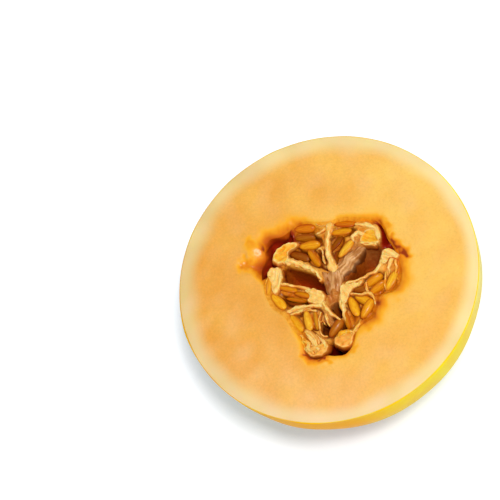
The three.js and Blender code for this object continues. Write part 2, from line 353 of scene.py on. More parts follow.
# %% Sky and lamp
SKY_LOW, SKY_HIGH = 0.70, 0.22
LAMP_PLACE, LAMP_SIDE, LAMP_WATTS = (0.362, -0.172, 1.25), 0.13, 9.2

scene = bpy.context.scene
scene.view_settings.view_transform = "Standard"
world = bpy.data.worlds.new("pale_sky")
world.use_nodes = True
scene.world = world
tree = world.node_tree
sky = tree.nodes["Background"]
seen = add_node(tree, "ShaderNodeLightPath").outputs["Is Camera Ray"]
way = add_node(tree, "ShaderNodeTexCoord").outputs["Generated"]
height = add_node(tree, "ShaderNodeSeparateXYZ", {"Vector": way}).outputs["Z"]
squared = add_node(tree, "ShaderNodeMath", {0: height, 1: height}, operation="MULTIPLY").outputs[0]
level = stretched(tree, squared, (0.0, 1.0), to=(SKY_LOW, SKY_HIGH))
strength = add_node(tree, "ShaderNodeMix", {0: seen, 2: level, 3: 1.0})
tree.links.new(strength.outputs[0], sky.inputs["Strength"])
sky.inputs["Color"].default_value = (1, 1, 1, 1)

FACE = Vector((0, 0, FACE_HEIGHT * MM))
light = bpy.data.lights.new("high_right", "AREA")
light.size = LAMP_SIDE
light.energy = LAMP_WATTS
lamp = bpy.data.objects.new("high_right", light)
lamp.location = LAMP_PLACE
lamp.rotation_euler = (FACE - Vector(LAMP_PLACE)).to_track_quat("-Z", "Y").to_euler()
scene.collection.objects.link(lamp)

# %% [markdown]
# ## The table
# The table is a white sheet that goes on past the edge of the view. Light thrown back by the
# fruit would tint it, so the camera sees a glow added to it. Beside the fruit, where the shadow
# has to stay, the glow is faint and bluish, and far out it is plain white. Other rays see a matt
# white sheet with no glow.

# %% Floor
FLOOR_HALF = 3.0
LIFT_REACH = 0.5
# share of LIFT_REACH out from the middle, and the glow there
LIFT_STOPS = [(0.11, (0.0, 0.115, 0.23, 1)), (0.17, (0.0, 0.08, 0.17, 1)),
              (0.23, (0.13, 0.19, 0.29, 1)), (0.7, (1, 1, 1, 1))]

floor_mesh = bpy.data.meshes.new("table")
floor_mesh.from_pydata([(-1, -1, 0), (1, -1, 0), (1, 1, 0), (-1, 1, 0)], [], [(0, 1, 2, 3)])
floor_mesh.transform(Matrix.Scale(FLOOR_HALF, 4))
floor = bpy.data.objects.new("table", floor_mesh)
scene.collection.objects.link(floor)
table_white, tree, principled = new_material("table_white", Roughness=0.9, Emission_Strength=1.0)
seen = add_node(tree, "ShaderNodeLightPath").outputs["Is Camera Ray"]
white = mix_colours(tree, seen, linear(250, 250, 250), (1, 1, 1, 1))
tree.links.new(white, principled.inputs["Base Color"])
spot = add_node(tree, "ShaderNodeTexCoord").outputs["Object"]
away = add_node(tree, "ShaderNodeVectorMath", {0: spot}, operation="LENGTH").outputs["Value"]
lift = ramp(tree, stretched(tree, away, (0.0, LIFT_REACH)), LIFT_STOPS)
glow = mix_colours(tree, seen, (0, 0, 0, 1), lift)
tree.links.new(glow, principled.inputs["Emission Color"])
floor_mesh.materials.append(table_white)

# %% [markdown]
# ## Camera
# The camera looks down on the cut from the near right, 24 degrees off straight above, from
# 0.8 m, with a longish lens, so the round cut shows as a slightly squeezed circle and a sliver
# of skin shows at the lower right. It is aimed past the fruit, to leave room at its left.

# %% Camera
CAMERA_TILT = np.radians(24.0)
CAMERA_TILT_AXIS = np.radians(227.4)
CAMERA_LENS = 106.4
AIM = Vector((0.0404, -0.0141, -0.8))

axis = Vector((np.cos(CAMERA_TILT_AXIS), np.sin(CAMERA_TILT_AXIS), 0))
turn = Matrix.Rotation(-CAMERA_TILT, 3, axis)
camera_data = bpy.data.cameras.new("camera")
camera_data.sensor_width = 36
camera_data.lens = CAMERA_LENS
camera = bpy.data.objects.new("camera", camera_data)
camera.matrix_world = Matrix.Translation(FACE - turn @ AIM) @ turn.to_4x4()
scene.collection.objects.link(camera)
scene.camera = camera
print("camera at", tuple(round(c, 4) for c in camera.location))

# %% [markdown]
# ## Two shared effects
# Fruit flesh and skin are never one flat colour. A group of nodes mottles a colour at two sizes
# and also gives the height of a fine grain. A second group gives fibres drawn out along a piece,
# for the pulp's membranes, its core and the seeds. Each material takes them with its own sizes.

# %% Node groups: mottled tissue, and fibres
def node_group(name, inputs, outputs):
    """A new group and its inputs; a colour's socket is known by its value being a tuple."""
    group = bpy.data.node_groups.new(name, "ShaderNodeTree")
    for way, sockets in (("INPUT", inputs), ("OUTPUT", outputs)):
        for label, value in sockets.items():
            kind = "NodeSocketColor" if isinstance(value, tuple) else "NodeSocketFloat"
            group.interface.new_socket(label, in_out=way, socket_type=kind).default_value = value
    return group, add_node(group, "NodeGroupInput").outputs


def mottle_group():
    """Colour A turns to B by coarse noise, then fine noise shades it; Grain is that fine noise."""
    group, given = node_group(
        "mottled_tissue", {"Colour A": (0.9, 0.6, 0.3, 1), "Colour B": (0.8, 0.5, 0.2, 1),
                           "Coarse": 60.0, "Fine": 600.0, "Fine Amount": 0.1},
        {"Colour": (0, 0, 0, 1), "Grain": 0.0})
    place = add_node(group, "ShaderNodeTexCoord").outputs["Object"]
    coarse = noise(group, place, given["Coarse"], detail=4.0, roughness=0.6)
    turned = stretched(group, coarse, (0.32, 0.68))
    tissue = mix_colours(group, turned, given["Colour A"], given["Colour B"])
    fine = noise(group, place, given["Fine"], detail=3.0, roughness=0.65)
    uneven = add_node(group, "ShaderNodeMath", {0: fine, 1: 0.5}, operation="SUBTRACT").outputs[0]
    gain = add_node(group, "ShaderNodeMath", {0: uneven, 1: given["Fine Amount"], 2: 1.0},
                    operation="MULTIPLY_ADD").outputs[0]
    shaded = add_node(group, "ShaderNodeVectorMath", {0: tissue, "Scale": gain}, operation="SCALE")
    add_node(group, "NodeGroupOutput", {"Colour": shaded.outputs["Vector"], "Grain": fine})
    return group


def fibre_group():
    """Noise read at (Along / 5, Across, 0), in mm, so that it is drawn out along a piece."""
    group, given = node_group("drawn_out_fibres", {"Along": 0.0, "Across": 0.0, "Scale": 1.0},
                              {"Fibres": 0.0})
    slow = add_node(group, "ShaderNodeMath", {0: given["Along"], 1: 0.2}, operation="MULTIPLY")
    place = add_node(group, "ShaderNodeCombineXYZ", {"X": slow.outputs[0], "Y": given["Across"]})
    fibres = noise(group, place.outputs[0], given["Scale"], detail=2.0, roughness=0.5)
    add_node(group, "NodeGroupOutput", {"Fibres": fibres})
    return group


MOTTLED, FIBRES = mottle_group(), fibre_group()


def mottled(tree, colour_a, colour_b, coarse, fine, fine_amount):
    """The mottled_tissue group placed in a material with its own values: colour and grain."""
    links = {"Colour A": colour_a, "Colour B": colour_b, "Coarse": coarse, "Fine": fine,
             "Fine Amount": fine_amount}
    node = add_node(tree, "ShaderNodeGroup", links, node_tree=MOTTLED)
    return node.outputs["Colour"], node.outputs["Grain"]


def fibres_of(tree, scale):
    """The drawn_out_fibres group, read from the piece's fields `along` and `across`."""
    links = {"Along": field_of(tree, "along"), "Across": field_of(tree, "across"), "Scale": scale}
    return add_node(tree, "ShaderNodeGroup", links, node_tree=FIBRES).outputs["Fibres"]


# %% [markdown]
# ## Skin
# Ripe honeydew skin is a smooth, waxy, lemon to golden yellow, with faint paler and darker streaks
# from end to end and a small tan scar at the blossom end. Noise stretched along the fruit gives
# the streaks: its coordinates are squeezed along Z before the noise reads them. Painted shade
# makes the near lower side a deeper gold, and painted light makes the skin paler under the lip at
# the right.

# %% Skin material
SKIN_STREAKS = [(0.3, linear(255, 212, 14)), (0.62, linear(255, 232, 34))]
# painted shade: a deeper gold for the near lower side
SKIN_SHADE_GOLD = linear(252, 178, 2)
# painted light: the skin under the lip at the right is drawn paler
SKIN_SUNLIT = linear(253, 242, 150)
SKIN_SCAR = linear(176, 126, 62)
SQUEEZE = 0.16


def skin_material():
    """Gold to lemon streaks, then the fields for painted shade (a deeper gold on the near lower side),
    `rim` (painted light under the lip) and `scar`; wax.
    """
    material, tree, principled = new_material("lemon_skin", Roughness=0.42, Specular_IOR_Level=0.06,
                                              Specular_Tint=(1, 0.8, 0.22, 1))
    place = add_node(tree, "ShaderNodeTexCoord").outputs["Object"]
    squeezed = add_node(tree, "ShaderNodeMapping", {"Vector": place, "Scale": (1, 1, SQUEEZE)})
    streaks = noise(tree, squeezed.outputs[0], 70.0, detail=5.0, roughness=0.55)
    # painted shade in deeper gold on the near lower side, painted light under the lip at the right
    base = layered(tree, ramp(tree, streaks, SKIN_STREAKS), ("side_shade", SKIN_SHADE_GOLD), ("rim", SKIN_SUNLIT))
    colour, grain = mottled(tree, base, base, coarse=45.0, fine=420.0, fine_amount=0.12)
    colour = layered(tree, colour, ("scar", SKIN_SCAR))
    finish(tree, principled, colour, grain, strength=0.25, distance=0.0003)
    return material


# %% [markdown]
# ## Flesh
# The cut flesh runs from a pale, greenish cream under the skin to a soft apricot, and turns a
# wet, deep orange where it borders the cavity. How far a place is from the skin and from the
# cavity is worked out once for each vertex, and carried to the material as fields. Two more
# fields tell how peachy the flesh is there and where shade is painted on it: darker towards the
# left.

# %% Flesh material
# lit and shaded tones of line, cream and flesh: the shaded ones are painted shade, towards the left
LINE_LIT, LINE_SHADED = linear(250, 238, 138), linear(206, 158, 72)
CREAM_LIT, CREAM_SHADED, CREAM_PEACH = linear(253, 228, 160), linear(230, 200, 134), linear(246, 213, 168)
FLESH_LIT, FLESH_SHADED, FLESH_PEACH = linear(253, 203, 106), linear(238, 171, 78), linear(247, 194, 126)
GEL_STOPS = stops((0.0, 252, 188, 72), (0.3, 252, 178, 42), (0.55, 242, 154, 20),
                  (0.8, 226, 124, 10), (1.0, 158, 56, 5))
# painted shade: the cavity wall turns darker and redder with depth
WALL_SHADE_STOPS = stops((0.0, 240, 150, 22), (0.2, 214, 104, 12), (0.42, 166, 58, 10),
                   (0.7, 180, 42, 12), (1.0, 214, 52, 18))
# painted shade: the dark red of the gaps between pulp and wall
GAP_SHADE_RED = linear(146, 22, 4)
SCATTER = (1.0, 0.5, 0.2)
# where each layer gives way, on the fields rim, halo and wall
CREAM_FADES, LINE_FADES = (0.2, 0.95), (0.015, 0.06)
STAIN_COMES, WALL_COMES, WET_COMES = (0.0, 0.38), (0.0, 0.12), (0.1, 0.5)
WETTEST = 0.85


def flesh_material():
    """Cream by the skin, apricot inside, orange by the cavity; painted shade darker to the left and red
    down its wall; wetter inwards.
    """
    material, tree, principled = new_material(
        "apricot_flesh", Roughness=0.55, Specular_IOR_Level=0.05, Coat_Roughness=0.26, Coat_IOR=1.27,
        Subsurface_Weight=0.3, Subsurface_Scale=0.003, Subsurface_Radius=SCATTER)
    rim, halo, wall = (field_of(tree, name) for name in ("rim", "halo", "wall"))
    # painted shade: flesh, cream and line darker on the left side
    tissue = layered(tree, FLESH_LIT, ("side_shade", FLESH_SHADED), ("peachy", FLESH_PEACH))
    veined = tinted(tree, tissue, 0.985, 0.94, 0.82)
    tissue, grain = mottled(tree, tissue, veined, coarse=150.0, fine=900.0, fine_amount=0.3)
    cream = layered(tree, CREAM_LIT, ("side_shade", CREAM_SHADED), ("peachy", CREAM_PEACH))
    creamy = stretched(tree, rim, CREAM_FADES, to=(1.0, 0.0), kind="SMOOTHSTEP")
    colour = mix_colours(tree, creamy, tissue, cream)
    lined = stretched(tree, rim, LINE_FADES, to=(1.0, 0.0))
    colour = mix_colours(tree, lined, colour, layered(tree, LINE_LIT, ("side_shade", LINE_SHADED)))
    stained = stretched(tree, halo, STAIN_COMES, kind="SMOOTHSTEP")
    colour = mix_colours(tree, stained, colour, ramp(tree, halo, GEL_STOPS))
    on_wall = stretched(tree, wall, WALL_COMES)
    colour = mix_colours(tree, on_wall, colour, ramp(tree, wall, WALL_SHADE_STOPS))
    wet = stretched(tree, halo, WET_COMES, to=(0.0, WETTEST))
    tree.links.new(wet, principled.inputs["Coat Weight"])
    finish(tree, principled, colour, grain, strength=0.3, distance=0.0003)
    return material


# %% [markdown]
# ## Skin and flesh, one grown piece
# The half is one body: skin outside, the level cut, and the wall of the cavity. Its profile is
# followed from the flat spot up the skin, over a slightly rounded lip, across the cut and down
# into the cavity, and each place on it is a ring round the fruit. The cavity's edge and the
# oval of the skin are read off the model.

# %% Outlines read off the model
AROUND = 480
ANGLES = around(AROUND)
OUT = np.stack([np.cos(ANGLES), np.sin(ANGLES)], axis=-1)
SKIN_BEYOND = 60  # mm from the cavity's middle: points of the cut out there are on the skin


def radius_by_angle(points, centre):
    """Radius of an outline at ANGLES, seen from centre, from its points at the cut."""
    away = points[:, :2] - centre
    angle = np.arctan2(away[:, 1], away[:, 0])
    order = np.unique(angle.round(4), return_index=True)[1]
    smooth_line = spline(away[order], 6 * AROUND, closed=True)
    angle = np.unwrap(np.arctan2(smooth_line[:, 1], smooth_line[:, 0]))
    return np.interp(ANGLES, angle, np.hypot(*smooth_line.T), period=2 * np.pi)


level = flesh_points[flesh_points[:, 2] > FACE_HEIGHT - SAME_LEVEL]
far_out = np.hypot(*(level[:, :2] - CENTRE).T) > SKIN_BEYOND
skin_radius = radius_by_angle(level[far_out], np.zeros(2))
cavity_radius = radius_by_angle(level[~far_out], CENTRE)
flat_points = flesh_points[flesh_points[:, 2] < SAME_LEVEL]
flat_share = np.hypot(*flat_points[:, :2].T).max() / skin_radius.max()
HALF_LENGTH = FACE_HEIGHT / np.sqrt(1 - flat_share**2)
CAVITY_DEPTH = FACE_HEIGHT - flesh_points[np.hypot(*(flesh_points[:, :2] - CENTRE).T) < 1, 2].max()
print("skin radius", skin_radius.min().round(1), "to", skin_radius.max().round(1),
      "mm, half length", round(HALF_LENGTH, 1), "mm, cavity", round(CAVITY_DEPTH, 1), "mm deep")

# %% Rings of the skin
LIP = 0.45  # mm, radius of the rounded lip
FULLER, FULL_SIDE = 1.5, -94.0  # mm, and degrees: the skin is fuller on that side
SKIN_ROWS, FLAT_ROWS, LIP_ROWS, FACE_ROWS, WALL_ROWS = 70, 8, 5, 62, 40


def skin_rings():
    """Ellipsoid: radius = skin radius x cos t and depth = half length x sin t, from flat to lip."""
    steepest = np.arcsin(FACE_HEIGHT / HALF_LENGTH)
    up = np.linspace(0, 1, SKIN_ROWS)
    t = steepest * (1 - up) + LIP / HALF_LENGTH * up
    flat = np.linspace(0.04, 1, FLAT_ROWS, endpoint=False)
    share = np.concatenate([flat * np.cos(steepest), np.cos(t)])[:, None]
    depth = np.concatenate([np.full(FLAT_ROWS, FACE_HEIGHT), HALF_LENGTH * np.sin(t)])[:, None]
    radius = share * skin_radius[None, :]
    xy = OUT[None] * radius[..., None]
    uneven = 0.25 * waves(xy[..., 0] + 0.5 * depth, xy[..., 1] - 0.4 * depth, 45, seed=3)
    from_full = degrees_from(FULL_SIDE, np.degrees(ANGLES))[None, :]
    fuller = FULLER * smooth(62, 8, from_full) * smooth(0, 14, depth) * smooth(80, 24, depth)
    radius = radius + (uneven * share + fuller) * smooth(1.0, 0.9, depth / FACE_HEIGHT)
    return OUT[None] * radius[..., None], np.broadcast_to(depth, radius.shape)


skin_xy, skin_depth = skin_rings()
print("skin:", skin_xy.shape[0], "rings of", AROUND)

# %% [markdown]
# ## Relief of the cut
# A knife leaves the cut nearly flat. Round the cavity the flesh is soft, wet and stained orange,
# and it rolls over into the hole: within a millimetre where the pulp clings to it, and over much
# more at the upper corners, where pulp and flesh have come apart. A short table gives the roll
# by direction, and a few strokes add the torn grooves. By the upper left corner one torn flap
# leans towards the lamp, and its wet side shines.

# %% Roll, tears, bulges and the leaning flap
# direction from the cavity's middle in degrees, reach and fall in mm, stain 0 to 1, its spread in mm
ROLL = np.array([
    (6, 3.6, 1.2, 0.62, 5.5), (20, 3.6, 2.0, 0.95, 4.5), (30, 2.6, 2.0, 0.85, 2.6),
    (42, 1.6, 1.6, 0.75, 2.2), (52, 4.0, 1.8, 0.80, 4.6), (62, 3.4, 1.3, 0.55, 3.0),
    (72, 3.0, 1.1, 0.40, 2.0), (84, 2.6, 0.9, 0.28, 1.6), (92, 2.0, 0.7, 0.12, 1.6),
    (104, 2.2, 0.9, 0.30, 2.4), (116, 3.2, 1.4, 0.72, 4.2), (129, 5.0, 2.0, 0.80, 5.6),
    (142, 6.0, 3.4, 0.86, 5.4), (151, 6.6, 3.8, 0.86, 4.8), (158, 6.8, 4.0, 0.86, 5.0),
    (166, 6.4, 3.8, 0.96, 6.0), (173, 3.0, 2.4, 0.80, 3.8), (180, 1.0, 0.6, 0.25, 1.6),
    (200, 0.8, 0.4, 0.12, 1.2), (228, 0.8, 0.4, 0.16, 1.4), (242, 1.6, 0.8, 0.50, 2.4),
    (252, 2.4, 1.0, 0.78, 4.0), (262, 3.2, 1.4, 0.88, 3.8), (273, 1.8, 0.8, 0.62, 2.2),
    (285, 2.4, 1.0, 0.66, 2.2), (298, 2.2, 0.8, 0.45, 2.6), (312, 3.2, 1.0, 0.78, 4.4),
    (330, 4.0, 1.2, 0.80, 5.0), (350, 4.0, 1.2, 0.78, 5.6)])
# path, half width and depth in mm, stain
TEARS = [
    ([(-33, 7), (-39, 7.2), (-46.5, 8.5)], 3.8, 2.0, 0.84),
    ([(-37, 21), (-31, 24.5), (-22, 27.0)], 3.4, 1.0, 0.56),
    ([(34.5, 18.5), (38.6, 15.0), (42.8, 11.4)], 3.6, 0.9, 1.12),
    ([(28.5, 30), (32, 24.5), (34.2, 19.8), (37, 16)], 1.7, 0.9, 1.0),
    ([(-43, 20), (-39.5, 14.5), (-37, 9.5)], 4.2, 0.0, 0.52),
    ([(24, 31.5), (29.5, 30.6), (34, 26)], 3.4, 0.4, 0.50),
    ([(43, 5), (44, -3), (38, -11)], 4.8, 0.3, 0.36),
    ([(31, -13), (29.5, -20), (23, -28)], 3.8, 0.3, 0.55),
    ([(-11, -43), (-5, -47.0), (3, -46.0)], 2.6, 0.5, 0.55),
    ([(-9.5, -42.8), (-5, -45.3), (1, -44.9)], 1.7, 0.3, 0.92),
    ([(12, -43.5), (18, -39)], 2.6, 0.4, 0.42),
    ([(6, 33), (16, 33.5)], 1.8, 0.3, 0.34),
]
# where the flesh bulges: middle, half size and height in mm
BULGES = [((-43.4, 18.5), 5.0, 0.8), ((-42, 1), 4, 0.5)]
# the leaning flap: middle, way down in degrees, slope and its growth per mm, depth at the middle, size
LEANING = ((-39.4, 15.2), -34.4, 0.41, 0.013, 0.9, 4.4)


def strokes(x, y):
    """Depth and stain: each stroke's share falls off as exp(-(distance / half width)^2)."""
    depth, stain = np.zeros(np.shape(x)), np.zeros(np.shape(x))
    warp_x, warp_y = x + 0.9 * waves(x, y, 6, seed=14), y + 0.9 * waves(x, y, 6, seed=15)
    for path, half_width, deep, dark in TEARS:
        near = np.exp(-(distance_to(warp_x, warp_y, spline(path, 16)) / half_width) ** 2)
        depth = depth + deep * near
        stain = np.maximum(stain, dark * near)
    for (cx, cy), size, height in BULGES:
        depth = depth - height * np.exp(-((x - cx) ** 2 + (y - cy) ** 2) / size**2)
    return depth, stain


def lean(x, y, depth):
    """Depth = at_middle + slope x down + growth / 2 x down^2 in the flap, and as it was outside."""
    (cx, cy), way, slope, growth, at_middle, size = LEANING
    down = (x - cx) * np.cos(np.radians(way)) + (y - cy) * np.sin(np.radians(way))
    share = smooth(1.7 * size, 0.5 * size, np.hypot(x - cx, y - cy))
    leaning = at_middle + slope * down + 0.5 * growth * down**2 + 0.05 * waves(x, y, 4.5, seed=41)
    return depth * (1 - share) + leaning * share


# %% Rings of the cut and of the cavity's wall
SLUMP, SLUMP_FROM = 0.6, 3.5  # the wall leans in by SLUMP x (reach of the roll - SLUMP_FROM), mm
KNIFE_DEPTH = 0.14  # mm: how far the cut lies below the model's
HIGHEST_BULGE = 2.0  # mm above the model's cut


def face_rings():
    """Straight lines from the lip to the cavity's edge; steps shrink towards the edge."""
    outer = OUT * (skin_radius - LIP)[:, None]
    inner = CENTRE + OUT * cavity_radius[:, None]
    t = (1 - (1 - np.linspace(0, 1, FACE_ROWS)) ** 1.7)[:, None, None]
    return outer * (1 - t) + inner * t


def narrowing(depth, full_depth):
    """How a hollow or the pulp in it narrows downwards: sqrt(1 - (depth / full depth)^2.2)."""
    return np.sqrt(np.clip(1 - (depth / full_depth) ** 2.2, 0, 1))


def wall_rings(edge_depth, slump):
    """Radius x narrowing(depth), less slump x (1 - e^(-down / 4)), rippled."""
    t = np.linspace(0, 1, WALL_ROWS + 1)[1:-1, None] ** 1.5
    depth = edge_depth + (CAVITY_DEPTH - edge_depth) * np.sin(t * np.pi / 2)
    share = narrowing(depth, CAVITY_DEPTH) / narrowing(edge_depth, CAVITY_DEPTH)
    xy = CENTRE + OUT[None] * (share * cavity_radius)[..., None]
    ripple = 0.6 * waves(xy[..., 0] + 0.6 * depth, xy[..., 1] - 0.8 * depth, 9, seed=5)
    radius = share * cavity_radius + ripple * smooth(0, 3, depth - edge_depth) * share
    radius = radius - slump * share * (1 - np.exp(-(depth - edge_depth) / 4))
    return CENTRE + OUT[None] * radius[..., None], depth


face_xy = face_rings()
face_x, face_y = face_xy[..., 0], face_xy[..., 1]
from_skin = skin_radius - np.hypot(face_x, face_y)
lip_turn = np.linspace(0, np.pi / 2, LIP_ROWS + 2)[1:-1, None, None]
lip_xy = OUT[None] * (skin_radius[None, :, None] - LIP * (1 - np.cos(lip_turn)))
lip_depth = np.broadcast_to(LIP * (1 - np.sin(lip_turn[..., 0])), lip_xy.shape[:2])
direction = np.degrees(np.arctan2(face_y - CENTRE[1], face_x - CENTRE[0]))
reach, fall, stain_here, spread = by_direction(ROLL, direction)
to_cavity = np.hypot(face_x - CENTRE[0], face_y - CENTRE[1])
to_cavity = to_cavity - np.interp(direction % 360, np.degrees(ANGLES), cavity_radius, period=360)
to_cavity = np.maximum(to_cavity, 0)
tear_depth, tear_stain = strokes(face_x, face_y)
knife = 0.10 * waves(face_x, face_y, 38, seed=11) + 0.03 * waves(face_x, face_y, 7, seed=12)
sunk = 0.25 * smooth(26, 6, to_cavity)
rolled = fall * np.exp(-(to_cavity / (0.55 * reach)) ** 1.2)
face_depth = tear_depth + rolled + sunk + knife * smooth(0, 6, to_cavity) + KNIFE_DEPTH
face_depth = lean(face_x, face_y, np.maximum(face_depth, -HIGHEST_BULGE)) * smooth(0, 3, from_skin)
slump = SLUMP * np.maximum(reach[-1] - SLUMP_FROM, 0)
wall_xy, wall_depth = wall_rings(face_depth[-1], slump)
print("deepest place of the cut", face_depth.max().round(2), "mm")

# %% [markdown]
# ## What the flesh's materials read
# The fields are worked out from where each vertex lies: how far in from the skin, how near the
# cavity and its tears, how far down the wall. A table gives painted shade by direction. On the
# skin the same names carry painted shade on the near lower side and painted light under the lip.

# %% Fields of the half
SHADED_SIDE = -95.0  # degrees: the side where painted shade gives a deeper gold
SUNLIT_MOST = 0.8
# direction from the middle of the cut in degrees, painted shade (darker to the left), peach tint, reach
# of the cream in mm
SHADE_BY_SIDE = np.array([
    (0, 0.18, 0.0, 9.9), (45, 0.05, 0.1, 10.7), (90, 0.48, 0.05, 13.2), (135, 0.72, 0.05, 13.2),
    (180, 0.98, 0.05, 14.4), (225, 1.0, 0.3, 13.2), (270, 0.5, 0.7, 10.6), (315, 0.42, 0.15, 10.8)])


def depth_shade(depth):
    """Painted shade on the wet flesh, darker and redder by its depth below the cut in mm: ((depth - 2.4)
    / 13)^0.8.
    """
    return np.clip((depth - 2.4) / 13, 0, 1) ** 0.8


def skin_fields():
    """scar: frayed, in the middle of the flat spot. Then painted shade round the near lower side, and
    painted light by the lip at the right.
    """
    x, y = skin_xy[..., 0], skin_xy[..., 1]
    from_middle = np.hypot(x, y)
    turned = np.degrees(np.arctan2(y, x))
    on_base = smooth(FACE_HEIGHT - 12, FACE_HEIGHT, skin_depth)
    frayed = 0.5 * smooth(13, 3, from_middle) * waves(x, y, 4, seed=6)
    scar = on_base * np.clip(smooth(9, 5, from_middle) * 0.8 + frayed, 0, 1)
    # painted shade: a deeper gold round the near lower side
    from_shaded_side = degrees_from(SHADED_SIDE, turned) + 9 * waves(x, skin_depth, 50, seed=25)
    shade_gold = smooth(50, 6, from_shaded_side) * smooth(20, 50, from_middle)
    uneven_depth = skin_depth + 6 * waves(x + y, skin_depth, 42, seed=26)
    # painted light: paler skin under the lip on the lit right side
    pale = SUNLIT_MOST * smooth(-30, 0, turned) * smooth(82, 30, turned) * smooth(30, 1, uneven_depth)
    return scar, shade_gold, pale


def flesh_fields():
    """rim: 0 to 1 inwards from the skin. halo: stain by the cavity. wall: painted shade, redder by depth.
    """
    scar, shade_gold, pale = skin_fields()
    patchy = 0.95 + 0.16 * waves(face_x, face_y, 11, seed=21)
    patchy = patchy + 0.07 * waves(face_x, face_y, 3.6, seed=22)
    stained = stain_here * np.exp(-(to_cavity / spread) ** 1.5)
    halo = np.clip(np.maximum(tear_stain, stained) * np.clip(patchy, 0.3, 1.25), 0, 1)
    turned = np.degrees(np.arctan2(face_y, face_x))
    # painted shade by direction, darker towards the left, with some random tone on it
    side_shade, peachy, cream_reach = by_direction(SHADE_BY_SIDE, turned)
    inwards = from_skin / cream_reach * (1 + 0.10 * waves(face_x, face_y, 34, seed=8))
    side_shade = np.clip(side_shade + 0.16 * waves(face_x, face_y, 30, seed=23), 0, 1)
    peachy = np.clip(peachy + 0.16 * waves(face_x, face_y, 18, seed=24), 0, 1)
    peachy = peachy * smooth(2, 22, to_cavity)
    wall_halo = np.maximum(halo[-1], smooth(0, 2.0, wall_depth - face_depth[-1]) * 0.8)
    # painted shade: the deeper places of the cut, in its tears, darker and redder
    face_depth_shade = depth_shade(face_depth) * smooth(0.2, 0.6, halo)
    # on the skin, the lip, the cut and the wall
    fields = {"rim": (pale, 0, np.clip(inwards, 0, 1), 1), "halo": (0, 0, halo, wall_halo),
              "side_shade": (shade_gold, side_shade[0], side_shade, 0.5), "peachy": (0, 0, peachy, 0),
              "wall": (0, 0, face_depth_shade, depth_shade(wall_depth)), "scar": (scar, 0, 0, 0)}
    return stacked(fields, skin_depth, lip_depth, face_depth, wall_depth)


half_xy = np.vstack([skin_xy, lip_xy, face_xy, wall_xy])
half_depth = np.vstack([skin_depth, lip_depth, face_depth, wall_depth])
half_rings = in_frame(half_xy[..., 0], half_xy[..., 1], half_depth)
is_flesh = np.arange(len(half_rings)) >= skin_xy.shape[0] + LIP_ROWS - 1
half_fields = flesh_fields()
melon_half = ring_piece("melon_half", half_rings, [skin_material(), flesh_material()],
                        half_fields, is_flesh.astype(int))
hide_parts("rind_and_flesh")
print("melon_half:", len(melon_half.data.polygons), "faces")

# %% [markdown]
# ## Where the seeds lie
# The model holds every seed in its place, and the pulp has to fit round them. The spread of a
# seed's corners gives its three axes: it is longest along the seed, then across it, and least
# through it.

# %% One seed's place, from its corners
SEED_NODES = sorted(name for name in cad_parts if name.startswith("seed_") and name[5:].isdigit())


def seed_place(node):
    """Centre, axes as rows (along, across, through) and half sizes of a seed, in mm."""
    points = node_points(node)
    centre = (points.min(axis=0) + points.max(axis=0)) / 2
    axes = np.linalg.eigh(np.cov((points - points.mean(axis=0)).T))[1].T[::-1]
    local = (points - centre) @ axes.T
    middle = (local.max(axis=0) + local.min(axis=0)) / 2
    centre = centre + middle @ axes
    local = local - middle
    # the first axis points to the blunt end, and the three are right-handed
    if (local[:, 0] * local[:, 1] ** 2).sum() < 0:
        axes[0] = -axes[0]
    if np.linalg.det(axes) < 0:
        axes[2] = -axes[2]
    return centre, axes, np.abs(local).max(axis=0)


SEED_PLACES = {node: seed_place(node) for node in SEED_NODES}
seed_spots = np.array([centre for centre, axes, half in SEED_PLACES.values()])
seed_depths = FACE_HEIGHT - seed_spots[:, 2]
print(len(SEED_NODES), "seeds, their middles", seed_depths.min().round(1), "to",
      seed_depths.max().round(1), "mm below the cut")

# %% [markdown]
# ## Membranes, sacs and the core, drawn first
# The cut shows the pulp's membranes edge on: pale ribbons that loop round the seed groups and
# swell into plump sacs at their ends. A ribbon is drawn as a path, with its width, the depth of
# its crest and how golden it is at every point. A sac is drawn as an outline. They are drawn
# before the pulp is made, because the pulp rises to meet them.

